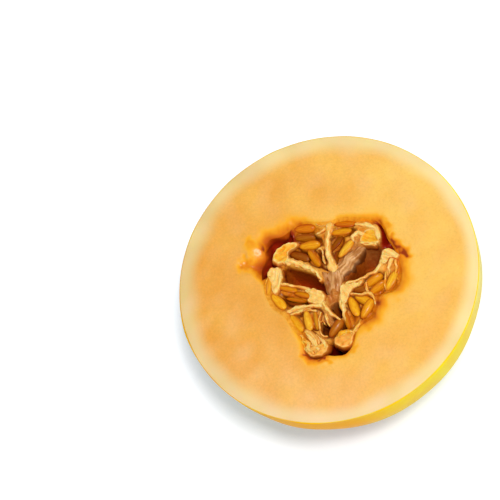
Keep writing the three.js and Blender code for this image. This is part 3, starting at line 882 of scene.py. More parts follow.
# %% Paths of the membranes: (x, y, width, depth of the crest, gold), in mm
MEMBRANES = {
    "core_ridge": [
        (1.3, 31.2, 2.6, 1.0, 0), (1.4, 28, 3.4, 0.6, 0), (1.0, 24.6, 2.4, 0.7, 0.05),
        (0.7, 21, 2.0, 0.8, 0), (0.9, 16, 2.2, 0.8, 0), (1.4, 11.5, 2.9, 0.9, 0),
        (2.6, 7.6, 3.8, 1.0, 0.1), (3.9, 4.6, 4.6, 1.2, 0.25), (4.6, 1.8, 3.0, 2.2, 0.1)],
    "band_left": [
        (-25.6, 9.8, 2.4, 1.3, 0.1), (-21.4, 10.0, 3.0, 1.1, 0.1), (-16, 8.2, 2.9, 1.0, 0.05),
        (-10, 5.8, 2.5, 1.1, 0), (-5.6, 3.6, 2.1, 1.4, 0), (-3.6, 0.8, 1.7, 1.8, 0),
        (-2.8, -1.0, 1.6, 2.0, 0), (-4.2, -1.4, 0.9, 2.6, 0.1)],
    "lobe_left_rim": [
        (-25.2, 4.4, 1.3, 1.0, 0), (-24.9, 0.5, 1.3, 1.0, 0), (-24.7, -2.8, 1.5, 1.0, 0),
        (-20.4, -3.8, 1.3, 0.9, 0), (-16, -4.6, 1.2, 1.0, 0), (-12, -5.8, 1.4, 1.0, 0),
        (-8.0, -6.6, 1.8, 1.0, 0)],
    "lobe_left_tail": [
        (-27.6, -4.6, 2.2, 1.4, 0.3), (-28.0, -7.6, 1.6, 1.9, 0.4), (-27.6, -10, 0.9, 2.6, 0.5)],
    "fold_left_edge": [
        (-32.8, 2.0, 1.6, 1.6, 0.6), (-33.2, -1.8, 1.3, 1.6, 0.8), (-33.4, -6.0, 1.0, 2.0, 0.9),
        (-31.8, -9.0, 0.8, 2.4, 0.8)],
    "fold_left_inner": [
        (-30.4, 0.8, 1.2, 1.5, 0.1), (-30.0, -3.4, 1.2, 1.6, 0.3), (-29.6, -7.4, 0.8, 2.2, 0.4)],
    "string_long": [
        (-1.6, -12.6, 2.6, 1.2, 0), (-0.4, -15.6, 2.2, 1.6, 0), (1.4, -18.4, 1.8, 1.8, 0),
        (4.0, -20.8, 1.7, 2.0, 0), (6.8, -22.6, 1.2, 2.2, 0), (9.2, -23.4, 0.7, 2.8, 0.1)],
    "band_middle": [
        (-21.8, -18.6, 1.8, 2.0, 0.1), (-17.4, -17.6, 2.4, 1.6, 0), (-13, -16.2, 2.0, 1.4, 0),
        (-8.2, -15.6, 1.8, 1.3, 0), (-4.2, -15.8, 2.0, 1.4, 0), (-1.2, -15.8, 1.8, 1.6, 0)],
    "band_middle_strand": [
        (-19.4, -20.6, 1.0, 2.2, 0.2), (-15.6, -19.4, 1.5, 1.8, 0.1), (-11.4, -17.6, 1.2, 1.7, 0),
        (-7.6, -17.0, 1.0, 1.9, 0)],
    "band_middle_low": [
        (-17.6, -19.6, 1.2, 2.4, 0.1), (-13.6, -18.4, 1.4, 2.1, 0), (-9, -17.9, 1.2, 2.2, 0),
        (-4.6, -18.8, 1.0, 2.6, 0.1)],
    "gel_foot_right": [
        (7.4, -34.2, 1.0, 1.4, 0.9), (9.6, -31.8, 2.0, 0.9, 0.95), (12.6, -30.8, 2.2, 0.8, 0.95),
        (15.2, -31.4, 1.2, 1.3, 0.9)],
    "gel_foot_left": [
        (-14, -32.4, 1.2, 2.0, 0.9), (-11.6, -35.6, 1.8, 1.5, 0.8), (-10, -39, 1.8, 1.5, 0.7),
        (-8.8, -41.6, 1.2, 2.0, 0.6)],
    "fold_foot_left": [
        (-10.6, -29.6, 1.2, 1.8, 0.5), (-8.2, -32.4, 2.0, 1.2, 0.2), (-5.8, -35.6, 2.8, 0.8, 0),
        (-3.8, -38.8, 2.8, 0.7, 0.1), (-1.4, -41.2, 1.6, 1.0, 0.2)],
    "fold_foot_outer": [
        (-13.4, -31.8, 1.0, 1.8, 0.8), (-10.8, -34.6, 1.8, 1.3, 0.7), (-8.6, -37.6, 2.4, 0.9, 0.5),
        (-7.2, -40.6, 2.2, 0.8, 0.3), (-4.6, -42.6, 1.2, 1.1, 0.3)],
    "fold_foot_middle": [
        (-4.6, -31.4, 0.8, 2.2, 0.2), (-2.2, -34.6, 1.3, 1.6, 0.1), (0.2, -36.6, 2.2, 0.9, 0),
        (1.4, -39.2, 1.8, 0.9, 0.1)],
    "strand_foot_right": [
        (15.2, -33, 1.4, 1.4, 0.2), (17.2, -30.2, 1.7, 1.2, 0.3), (19.0, -27.4, 1.6, 1.3, 0.4),
        (20.4, -24.0, 1.0, 2.0, 0.5)],
    "hood_right_rim": [
        (15.4, 28.6, 1.0, 1.2, 0), (19.6, 28.8, 1.9, 0.7, 0), (23.6, 28.0, 2.4, 0.6, 0),
        (27.0, 26.2, 2.6, 0.6, 0), (28.9, 23.0, 2.6, 0.7, 0), (29.0, 19.6, 1.7, 1.2, 0)],
    "hood_right_crescent": [
        (15.2, 19.6, 1.4, 2.2, 0), (14.8, 22.4, 2.0, 1.5, 0), (17.2, 24.2, 2.2, 1.2, 0),
        (20.0, 23.8, 1.8, 1.3, 0), (22.0, 24.8, 1.0, 1.9, 0.3)],
    "pocket_right_far": [
        (18.4, 18.6, 1.4, 2.0, 0), (23, 18.2, 1.9, 1.8, 0.1), (28, 17.8, 1.8, 1.7, 0)],
    "pocket_right_near": [
        (33.2, 12.4, 3.4, 0.9, 0), (31.9, 8.6, 3.2, 1.0, 0), (30.4, 5.2, 2.4, 1.0, 0),
        (27.8, 2.5, 1.6, 1.0, 0), (24.2, 0.4, 1.1, 1.0, 0), (19.8, -1.8, 1.0, 1.0, 0),
        (15, -3.4, 1.3, 1.1, 0), (11.0, -4.6, 2.2, 1.2, 0)],
    "prong_right": [
        (36.4, 9.6, 2.2, 1.1, 0), (35.5, 6.4, 2.0, 1.2, 0), (35.1, 3.4, 1.7, 1.4, 0),
        (35.1, 0.4, 1.0, 2.0, 0.1)],
    "prong_right_outer": [
        (38.8, 8.6, 1.8, 1.4, 0.2), (38.4, 5.2, 1.4, 1.6, 0.5), (38.8, 1.6, 1.0, 1.9, 0.7),
        (39.6, -3.4, 0.8, 2.2, 0.8)],
    "seed_coat_right": [
        (33.4, 1.6, 1.0, 1.8, 0.5), (32.6, -3.0, 1.0, 1.7, 0.5), (33.4, -8.2, 0.8, 2.4, 0.6)],
    "fold_right": [
        (22.2, -3.4, 1.0, 1.8, 0.1), (22.9, -6.4, 1.3, 1.7, 0.1), (23.4, -9.4, 1.3, 1.9, 0.1)],
    "core_right_fall": [
        (9.8, -9.6, 3.0, 1.1, 0), (9.7, -13.6, 3.2, 1.3, 0), (10.0, -17.6, 2.5, 1.7, 0),
        (10.8, -21.4, 1.5, 2.2, 0.1), (12.0, -26, 0.9, 2.6, 0.2)],
    "strand_right": [
        (13.6, -9.6, 1.2, 2.0, 0.1), (17.4, -10.2, 1.2, 1.8, 0), (21.6, -10.2, 1.3, 1.8, 0),
        (25.2, -10.6, 1.6, 1.8, 0), (27.2, -13, 1.1, 2.1, 0.1), (27.8, -16, 0.7, 2.6, 0.2)],
    "string_1": [
        (-1.6, -19.4, 1.2, 2.0, 0), (-3, -24, 0.9, 2.0, 0), (-2.4, -28.6, 0.9, 2.2, 0),
        (-0.6, -32, 1.1, 2.0, 0), (2.0, -33, 0.9, 2.2, 0)],
    "string_2": [
        (0.4, -19.2, 1.4, 3.2, 0.1), (1.2, -23.4, 1.6, 3.4, 0.1), (2.6, -27.4, 0.9, 3.8, 0.2)],
    "string_3": [
        (-2.8, -25.2, 0.6, 2.6, 0), (-1.0, -24, 0.7, 2.6, 0), (0.2, -26.4, 0.5, 3.0, 0)],
    "string_4": [
        (-5.2, 16.4, 0.7, 2.4, 0), (-3.6, 16.9, 0.9, 2.0, 0), (-2.4, 15, 0.9, 2.0, 0),
        (-2.4, 12.4, 0.7, 2.4, 0)],
    "string_5": [
        (-2.6, 13.4, 0.7, 2.4, 0), (-1.4, 10.8, 1.0, 2.2, 0), (-0.4, 7.6, 1.2, 2.0, 0.1)],
    "string_6": [
        (-6, 24.6, 0.8, 2.4, 0), (-4, 25.6, 1.1, 1.8, 0), (-1.4, 27.8, 1.6, 1.4, 0)],
    "string_7": [
        (-1.0, 29.4, 1.0, 1.8, 0.1), (-4.4, 29.4, 0.9, 1.9, 0.2), (-7.2, 31, 0.7, 2.2, 0.4)],
}

# %% Outlines of the sacs, in mm
# outline, depth of the raised rim, how far the middle dips, gold of the middle, peach all over,
# way of the fibres in degrees
SACS = {
    "hood_left": (
        [(-16, 18.8), (-19.6, 20.6), (-24, 19.4), (-28.2, 16.4), (-30.2, 12.6), (-29, 9.4),
         (-25.6, 8.2), (-22, 9.4), (-21.2, 12.0), (-21.6, 14.6), (-18.6, 16.6)],
        0.8, 0.9, 0.95, 0.0, 40),
    "lobe_left": (
        [(-33.2, 3.2), (-31.4, 5.6), (-28.2, 6.4), (-25.2, 5.8), (-24.6, 2.0), (-24.9, -2.5),
         (-26.2, -7.2), (-28.2, -9.0), (-29.8, -6.6), (-30.4, -2.6), (-32.2, 0.4)],
        0.7, 0.5, 0.15, 0.05, 80),
    "lobe_middle": (
        [(-11.6, -7.0), (-8.0, -6.2), (-3.4, -7.0), (-0.6, -9.4), (0.2, -12.8), (-1.8, -15.0),
         (-6.2, -14.8), (-9.8, -13.2), (-8.6, -11.0), (-9.2, -9.2)],
        0.8, -0.3, 0.3, 0.1, -25),
    "foot_left": (
        [(-9.4, -38.4), (-10.2, -41.2), (-6.8, -43.6), (-2.2, -43.8), (1.8, -41.8), (3.2, -38.2),
         (1.8, -35.6), (-1.0, -36.6), (-3.6, -37.8), (-6.6, -37.2)],
        1.0, -0.5, 0.5, 0.4, 20),
    "foot_right": (
        [(5.8, -34.8), (6.8, -37.6), (9.8, -39.2), (12.2, -39.9), (15.2, -38.2), (16.4, -34.4),
         (17.6, -30.8), (15.0, -29.6), (12.6, -31.6), (9.0, -32.4)],
        0.8, -0.3, 0.5, 0.45, 30),
    "hood_right": (
        [(18.4, 20.0), (20.2, 24.0), (23.4, 26.6), (27.0, 25.6), (29.2, 22.4), (29.4, 18.4),
         (25.0, 17.8), (21.0, 18.2)],
        1.5, 0.9, 1.0, 0.0, -20),
    "flap_right": (
        [(30.6, 10.4), (31.4, 13.4), (33.8, 14.8), (37.2, 13.6), (40.6, 10.6), (39.6, 8.6), (36.6, 9.6),
         (34.2, 7.4), (32.2, 5.8), (30.8, 7.6)],
        0.6, -0.3, 0.1, 0.1, -30),
    "core_right": (
        [(20.6, -3.0), (19.0, -5.4), (15.6, -7.2), (13.4, -10.6), (11.8, -15.6), (9.8, -16.6),
         (8.6, -12.0), (8.0, -8.0), (8.8, -5.2), (13.4, -4.0)],
        0.9, -0.3, 0.15, 0.1, -50),
}

# %% Paths of the core: the same five values, where gold is painted shade, browner on the left side and downwards
CORE = {
    "core_trunk": [
        (4.2, 6, 3.0, 2.0, 0), (4.4, 2.4, 6.4, 2.2, 0.1), (4.2, -2, 7.6, 3.4, 0.25),
        (4.2, -7, 7.2, 5.2, 0.3), (4.4, -11, 5.8, 7.6, 0.4), (4.4, -14.6, 4.0, 11, 0.6)],
    "core_branch": [
        (21.6, 19.2, 1.4, 7.0, 0.8), (19.2, 17.0, 2.8, 4.6, 0.55), (15.8, 13.4, 4.6, 3.2, 0.2),
        (12.2, 9.2, 6.0, 2.8, 0.1), (8.8, 5.2, 6.0, 2.6, 0), (5.8, 1.6, 4.6, 2.8, 0)],
    "core_shaded_side": [
        (-2.6, 3.2, 2.0, 2.8, 0.6), (-0.6, 0.4, 3.6, 3.2, 0.6), (0.8, -3.6, 3.2, 4.4, 0.8),
        (2, -8.4, 2.8, 6.2, 0.9), (3, -14, 2.2, 9, 1.0)],
}

# %% [markdown]
# ## Pulp
# The seeds sit in soft, stringy pulp that hangs in the cavity in three lobes, with a deep pocket
# between each two. Its bed is drawn as a chart of depths: a level bed, soft mounds where the
# pulp swells, and pockets that sink away inside their outlines. The chart is a set of rings from
# the middle to the edge of the pulp, and then down its side. Where the pulp clings to the
# flesh, the bed rises to meet it.

# %% Outlines of the pulp and its pockets, in mm in the cut plane
PULP_EDGE = [
    (1, 34), (-14, 34.5), (-21, 31), (-22.5, 25), (-25.5, 20.5), (-29.5, 16.5), (-31, 12),
    (-29, 8.5), (-31.5, 6.2), (-34.5, 2.5), (-36.5, -1), (-36.5, -7), (-34, -13.5), (-30, -20),
    (-24, -23.5), (-19, -31), (-14, -37), (-10.5, -41.5), (-5, -43.5), (1, -42), (3.4, -38.5),
    (4.6, -35.5), (6.2, -38.5), (9.5, -40.3), (13.8, -39.5), (17.5, -37.5), (20, -32),
    (24, -28.5), (29, -25.5), (32, -17), (33.5, -12.5), (39, -11.5), (43.5, -5.5), (44, 1),
    (43, 7), (41, 11.5), (39.5, 14.5), (37.5, 18), (35, 22.5), (33, 28), (29, 33), (17, 35), (9, 36),
]
# outline, how deep it sinks, and over how many mm from its edge
POCKETS = [
    ([(-24, 6.5), (-15, 5), (-5, 1), (0.5, -5), (1, -9), (-9, -6), (-19, -4), (-24, -1)], 30, 3.6),
    ([(20, 17.8), (29.6, 17.6), (29.4, 8), (25, 1), (17, -3), (9.5, -4), (12, 4), (16, 12)], 34, 9.0),
    ([(7.5, 3), (12, 10), (17, 17.6), (22, 17.6), (18, 8), (12, -2), (9, -4)], 5, 6.0),
    ([(5.4, -13.5), (2.6, -16.5), (2.8, -20.5), (5.6, -24.8), (8.8, -23.5), (9.2, -16.5)], 22, 2.4),
    ([(-1.8, -25.4), (-1.6, -31.8), (2.4, -33.4), (3.6, -28.5), (1.6, -25.2)], 16, 1.8),
    ([(12, 27.4), (12.6, 22.6), (14.4, 21.6), (16.2, 26.4)], 8, 1.8),
    ([(-8.4, 24), (-4.2, 23.4), (-3.6, 20.6), (-7.6, 20.8)], 7, 1.6),
    ([(-24, -9.4), (-9, -13), (-9, -15.4), (-20, -15.6)], 6, 1.6),
    ([(-21, 15.5), (-11.5, 15.6), (-9, 11), (-18, 10)], 4, 2.0),
    ([(-5.4, 16), (-2, 14), (-1.6, 9.4), (-4, 10)], 5, 1.4),
    ([(9.2, -28), (11.4, -31), (12, -27.6), (10.6, -24.6)], 7, 1.0),
    ([(20.4, -13), (21.4, -22), (19.4, -24)], 5, 1.4),
    ([(28.2, 28.5), (29.8, 25), (30.6, 20), (30.4, 15.4), (33, 13.6), (38, 14), (38, 22), (33, 30)],
     1.8, 1.6),
    ([(-23.4, 19.4), (-20.6, 19.6), (-20.1, 24), (-20.6, 28.4), (-23.4, 28)], 5.0, 1.2),
]
# middle, half sizes, turn in degrees, depth of the top
MOUNDS = [
    (-4.5, -11.0, 6.0, 4.0, -12, 2.4), (-4, -38.5, 6.5, 5.0, 0, 2.6), (10.8, -34.0, 5.5, 4.6, 20, 2.6),
    (22.5, 23.6, 6.8, 4.4, -20, 2.4), (11.4, -8.6, 4.0, 4.4, 0, 2.6), (1.4, 18, 2.6, 13, 0, 3.2),
    (25, -9.5, 4.5, 2.6, 0, 3.6), (-1.5, 4.5, 4.5, 3.0, -20, 3.2),
    (-28.4, 0, 4.6, 6.6, 0, 2.4), (-25.6, 13.4, 4.8, 4.8, 30, 2.2), (36.4, 9.6, 4.4, 4.8, 0, 2.4),
]
# the gap beside the right hood, and a hollow by the upper left seeds: painted shade there makes
# the pulp as dark a red as the wall
SHADED_GAP = [(28.6, 27.5), (31.2, 22), (32.4, 17.5), (35.5, 14.6)]
SHADED_NOOK = [(-21.0, 26.0), (-20.8, 23), (-20.2, 20.6)]
PULP_DEPTH = FACE_HEIGHT - pulp_points[:, 2].min()


# %% Depth of the pulp's bed
NEST = 1.1  # mm, of the bed below the middles of the seeds
SOCKET = 0.7  # mm, of a seed's socket below its middle
MOUND_FALL = 4.4  # mm, from the top of a mound to its outline


def nest_depth(x, y):
    """Depth of the nearby seeds' middles, weighed by 1 / (distance^2 + 6)^2, plus NEST."""
    total, weight = np.zeros(np.shape(x)), np.zeros(np.shape(x))
    for (cx, cy, _), deep in zip(seed_spots, seed_depths):
        share = 1 / ((x - cx) ** 2 + (y - cy) ** 2 + 6.0) ** 2
        total, weight = total + share * deep, weight + share
    return total / weight + NEST


def seed_nearness(x, y):
    """Distance in mm outside the nearest seed's oval, and the depth of that seed's middle."""
    nearest, deep = np.full(np.shape(x), FAR), np.zeros(np.shape(x))
    for (centre, axes, half), depth in zip(SEED_PLACES.values(), seed_depths):
        (ax, ay), (bx, by) = axes[0, :2], axes[1, :2]
        u = ((x - centre[0]) * ax + (y - centre[1]) * ay) / half[0]
        v = ((x - centre[0]) * bx + (y - centre[1]) * by) / half[1]
        away = (np.hypot(u, v) - 1) * half[1]
        deep = np.where(away < nearest, depth, deep)
        nearest = np.minimum(away, nearest)
    return nearest, deep


def risen(x, y, depth):
    """The bed with its mounds and the membranes' aprons on it, and how creamy it is by them."""
    for cx, cy, half_x, half_y, turned, top in MOUNDS:
        a = np.radians(turned)
        u = ((x - cx) * np.cos(a) + (y - cy) * np.sin(a)) / half_x
        v = ((y - cy) * np.cos(a) - (x - cx) * np.sin(a)) / half_y
        depth = np.minimum(depth, top + MOUND_FALL * (u * u + v * v) ** 1.3)
    creamy = np.zeros(np.shape(x))
    for path in MEMBRANES.values():
        away, carried = nearest_of(x, y, spline(path, 4 * len(path)))
        width, crest, gold = np.moveaxis(carried, -1, 0)
        apron = crest + 0.7 + 2.4 * (away / (0.5 * width + 1.6)) ** 2
        creamy = np.maximum(creamy, (1 - gold) * np.exp(-(away / (0.5 * width + 1.1)) ** 2))
        depth = np.minimum(depth, apron)
    return depth, creamy


def bed_depth(x, y):
    """The risen bed, sunk by the deepest pocket there, with a film and a socket at each seed."""
    depth, creamy = risen(x, y, nest_depth(x, y) + 0.7 * waves(x, y, 6.5, seed=31))
    sunk = np.zeros(np.shape(x))
    for outline, sinks, reach in POCKETS:
        line = spline(outline, 60, closed=True)
        within = np.where(inside(x, y, line), 1, -1) * distance_to(x, y, line, closed=True)
        sunk = np.maximum(sunk, sinks * smooth(-0.5, reach, within))
    fibres = waves(x, y * 0.35, 2.6, seed=33) + waves(x * 0.35, y, 2.4, seed=34)
    depth = depth + sunk + 0.14 * fibres
    from_seed, seed_deep = seed_nearness(x, y)
    film = np.exp(-((from_seed - 1.1) / 0.45) ** 2) * smooth(7, 3, depth)
    depth = depth - 0.35 * film
    socket = smooth(0.5, -0.1, from_seed)
    lowered = np.maximum(depth, depth * (1 - socket) + (seed_deep + SOCKET) * socket)
    depth = np.where(socket > 0, lowered, depth)
    # painted shade: a thin dark line round each seed
    nook_shade = np.exp(-((from_seed - 0.1) / 0.42) ** 2)
    return depth, creamy * smooth(3, 0.5, sunk), nook_shade, film


# %% Rings of the pulp, from its middle out and down its side
PULP_AROUND, BED_ROWS, SIDE_ROWS = 432, 156, 24
UNDER_FLESH = 1.2  # mm, of the pulp's edge behind the flesh
EVENED = 9  # places round the edge over which the clinging is evened out


def pulp_edge(angles, out):
    """Radius of the pulp's edge, and how far it clings to the flesh there, 0 to 1."""
    line = spline(PULP_EDGE, 8 * PULP_AROUND, closed=True) - CENTRE
    turned = np.arctan2(line[:, 1], line[:, 0])
    order = np.argsort(turned)
    drawn_edge = np.interp(angles, turned[order], np.hypot(*line[order].T), period=2 * np.pi)
    wall_here = np.interp(angles, ANGLES, cavity_radius, period=2 * np.pi)
    radius = np.minimum(drawn_edge, wall_here + UNDER_FLESH)
    clings = np.tile(smooth(wall_here - 1.6, wall_here, drawn_edge), 3)
    clings = np.convolve(clings, np.hanning(EVENED) / np.hanning(EVENED).sum(), "same")
    edge_x, edge_y = (CENTRE + out * radius[:, None]).T
    out_of_gap = smooth(2.6, 4.6, distance_to(edge_x, edge_y, spline(SHADED_GAP, 16)))
    return radius, clings[PULP_AROUND:2 * PULP_AROUND] * out_of_gap


def pulp_rings():
    """Bed: shares 0 to 1 of the edge's radius. Side: radius x narrowing(depth), rippled."""
    angles = around(PULP_AROUND)
    out = np.stack([np.cos(angles), np.sin(angles)], axis=-1)
    radius, clings = pulp_edge(angles, out)
    share = np.linspace(0.006, 1, BED_ROWS)[:, None] ** 0.94
    xy = CENTRE + out[None] * (radius * share)[..., None]
    depth, creamy, nook_shade, film = bed_depth(xy[..., 0], xy[..., 1])
    from_edge = radius * (1 - share)
    from_flesh = np.maximum(from_edge - UNDER_FLESH, 0)
    rim = np.interp(angles, ANGLES, face_depth[-1], period=2 * np.pi) + 0.15 + 0.8 * from_flesh
    depth = depth * (1 - clings) + clings * np.minimum(depth, rim)
    depth = depth + (1 - clings) * 2.5 * np.exp(-(from_edge / 1.6) ** 1.5)
    t = np.linspace(0, 1, SIDE_ROWS + 1)[1:-1, None] ** 1.3
    side_depth = depth[-1] + (PULP_DEPTH - depth[-1]) * t
    drawn = narrowing(side_depth, PULP_DEPTH) / narrowing(depth[-1], PULP_DEPTH)
    side_xy = CENTRE + out[None] * (radius * drawn)[..., None]
    ripple = 0.5 * waves(side_xy[..., 0], side_xy[..., 1] + 0.8 * side_depth, 6, seed=35)
    side_xy = side_xy + out[None] * (ripple * smooth(0, 3, side_depth - depth[-1]))[..., None]
    near_edge = clings * np.exp(-(from_flesh / 5.0) ** 2)
    # painted shade: dark red down the pulp's side where it has come away from the flesh
    gap_shade = smooth(0.5, 3.5, side_depth - depth[-1]) * (1 - clings)
    nook_shade = 0.85 * nook_shade * smooth(1.0, 2.5, depth) * (1 - 0.5 * near_edge)
    edge_row = len(skin_xy) + LIP_ROWS + FACE_ROWS - 1
    stain = np.interp(angles, ANGLES, half_fields["halo"][edge_row], period=2 * np.pi)
    # on the bed and on the side
    fields = {"gelled": (near_edge, 0), "stain": (stain, stain), "creamy": (creamy, 0),
              "nook_shade": (nook_shade, 0), "film": (0.7 * film, 0), "side": (0, gap_shade)}
    fields = stacked(fields, depth, side_depth)
    return np.vstack([xy, side_xy]), np.vstack([depth, side_depth]), fields


# %% [markdown]
# ## Finish of the pulp
# Pulp is wet and half clear. Its crests are cream, the bed between the seeds is amber, and
# deep places are painted brown, as painted shade. A ramp on the depth of each vertex gives the
# colours, and a clear coat gives the wet shine. Further fields lay other colours over it: orange
# by the flesh, painted shade in the nooks by the seeds, paler tissue along the core with painted
# light on the upper wall of the right pocket, and painted shade in dark red where the pulp has
# come away from the wall. The fibres run along each fold, so their noise is read from two
# fields, the way along and the way across.

# %% Pulp materials
# painted shade: the bed darkens to brown with depth, then turns redder
DEPTH_SHADE_STOPS = stops((0.0, 251, 188, 72), (0.05, 243, 160, 36), (0.10, 218, 124, 16),
                   (0.17, 172, 84, 10), (0.34, 206, 106, 20), (1.0, 230, 96, 24))
# cream crest to brown edge: a peach tint, then painted shade at the edges
CREST_AND_EDGE_SHADE_STOPS = stops((0.0, 255, 221, 142), (0.35, 252, 207, 122), (0.6, 246, 186, 100),
                    (0.8, 236, 164, 74), (1.0, 214, 132, 44))
AMBER_STOPS = stops((0.0, 250, 190, 52), (0.5, 242, 164, 26), (1.0, 212, 120, 12))
CORE_STOPS = stops((0.36, 182, 118, 58), (0.48, 210, 150, 88), (0.62, 236, 184, 124))


def wet_material(name, coat, scatter):
    """A dull body under a clear wet coat of that weight, with some light scattered inside it."""
    return new_material(name, Roughness=0.5, Specular_IOR_Level=0.05, Coat_Weight=coat,
                        Coat_Roughness=0.2, Coat_IOR=1.27, Subsurface_Weight=scatter,
                        Subsurface_Scale=0.002, Subsurface_Radius=SCATTER)


def pulp_material():
    """Gold to brown by depth as painted shade, orange by the flesh, paler along the core with painted
    light on a pocket wall, painted shade in nooks and gaps; wet coat, fine grain.
    """
    material, tree, principled = wet_material("wet_pulp", coat=0.5, scatter=0.1)
    tone = layered(tree, ramp(tree, field_of(tree, "deep"), DEPTH_SHADE_STOPS),
                   ("film", linear(248, 184, 78)), ("creamy", linear(248, 194, 96)),
                   # painted shade in the nooks
                   ("nook_shade", linear(120, 46, 4)),
                   ("gelled", ramp(tree, field_of(tree, "stain"), GEL_STOPS)),
                   ("ashen_and_lit", linear(212, 146, 76)))
    darker = tinted(tree, tone, 0.78, 0.58, 0.32)
    colour, grain = mottled(tree, tone, darker, coarse=420.0, fine=1500.0, fine_amount=0.35)
    # painted shade: dark red in the gaps
    colour = layered(tree, colour, ("side", GAP_SHADE_RED))
    finish(tree, principled, colour, grain, strength=0.5, distance=0.0004)
    return material


def membrane_material():
    """Cream crest, peach then brown at its ragged edges as tint and painted shade, browner down its walls
    as painted shade, gold where `gold` says; fibrous, wet.
    """
    material, tree, principled = wet_material("pulp_membrane", coat=0.5, scatter=0.5)
    amber = ramp(tree, field_of(tree, "edge"), AMBER_STOPS)
    tone = layered(tree, ramp(tree, field_of(tree, "edge"), CREST_AND_EDGE_SHADE_STOPS),
                   ("gold", amber), ("below", linear(178, 82, 16)))
    fibres = fibres_of(tree, 0.7)
    streaky = stretched(tree, fibres, (0.42, 0.66))
    tone = mix_colours(tree, streaky, tone, tinted(tree, tone, 0.95, 0.78, 0.52))
    colour = mottled(tree, tone, tone, coarse=380.0, fine=1600.0, fine_amount=0.18)[0]
    finish(tree, principled, colour, fibres, strength=0.5, distance=0.0005)
    return material


def core_material():
    """Beige tissue with long pale and dark fibres; painted shade makes it browner on its left side and
    downwards.
    """
    material, tree, principled = wet_material("core_tissue", coat=0.35, scatter=0.15)
    fibres = fibres_of(tree, 0.9)
    pale = ramp(tree, fibres, CORE_STOPS)
    # painted shade: browner where gold is high, and down the walls
    tone = layered(tree, pale, ("gold", tinted(tree, pale, 0.62, 0.42, 0.22)),
                   ("below", linear(130, 66, 18)))
    finish(tree, principled, tone, fibres, strength=0.4, distance=0.0005)
    return material


# %% The pulp's bed, and the colours along drawn lines
CORE_LINE = [(17, 17), (11, 9), (6, 3), (4, -4), (4.4, -14), (3.4, -26)]
# painted light: the upper wall of the right pocket is drawn paler
LIT_WALL_LINE = [(19, 17), (24, 15.5), (28.5, 14)]
# painted shade runs along this line, low in the right pocket
SHADE_LINE_LOWER = [(12, -1), (20, 2.5), (27, 7)]

pulp_xy, pulp_depth, pulp_fields = pulp_rings()
pulp_x, pulp_y = pulp_xy[..., 0], pulp_xy[..., 1]


def along_line(line, count, half_width, power, from_depth, to_depth):
    """exp(-(distance / half width)^power) x smooth(from_depth, to_depth, depth of the pulp)."""
    away = distance_to(pulp_x, pulp_y, spline(line, count))
    return np.exp(-(away / half_width) ** power) * smooth(from_depth, to_depth, pulp_depth)


# paler along the core, which is its own pale tissue, and along the right pocket's upper wall, which is
# painted light
ashen_and_lit = np.maximum(along_line(CORE_LINE, 40, 4.6, 2.4, 15, 6),
                   0.62 * along_line(LIT_WALL_LINE, 12, 5.5, 2, 4, 7))
# painted shade: darker along the lower line, and dark red in the gap and by the upper left seeds
for field, strength, line in (("nook_shade", 0.8, along_line(SHADE_LINE_LOWER, 12, 4.5, 2, 5, 12)),
                              ("side", 1.0, along_line(SHADED_GAP, 16, 3.4, 4, 1.0, 3.6)),
                              ("side", 0.9, along_line(SHADED_NOOK, 16, 2.0, 4, 1.0, 3.6))):
    pulp_fields[field] = np.maximum(pulp_fields[field], strength * line)
pulp_fields["deep"] = np.clip((pulp_depth - 2) / 34, 0, 1)
pulp_fields["ashen_and_lit"] = 0.8 * ashen_and_lit
pulp_bed = ring_piece("pulp_bed", in_frame(pulp_x, pulp_y, pulp_depth), [pulp_material()],
                      pulp_fields)
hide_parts("seed_pulp")
print("pulp_bed:", len(pulp_bed.data.polygons), "faces, down to", pulp_depth.max().round(1), "mm")

# %% [markdown]
# ## Ribbons
# Each ribbon is a strip carried along its path. The section is a rounded crest on two walls that
# spread downwards, into the pulp's bed. Its two edges are ragged in their own ways, and it wanders
# a little off the drawn path, because torn tissue has no straight line in it.

# %% Rings of a ribbon
FOLD_FOOT, CORE_FOOT = 9.0, 24.0  # mm below the cut: how deep the walls go
ROUGH, CALM = 1.0, 0.3  # how ragged ribbons are, and the core's smoother pieces
FULLNESS = 1.3  # times the drawn width
EVERY = 0.28  # mm between rings
CREST_POINTS = 17
# the walls: half widths out from the middle, and shares of the way down
WALL_OUT, WALL_DOWN = np.array([1.4, 1.2, 1.06]), np.array([1.0, 0.6, 0.25])


def ragged(walk, seed):
    """One side's share of the width along a strip: about 1, uneven at two sizes."""
    level = np.zeros_like(walk)
    return 1 + 0.24 * waves(walk, level, 6.5, seed) + 0.05 * waves(walk, level, 3.0, seed + 50)


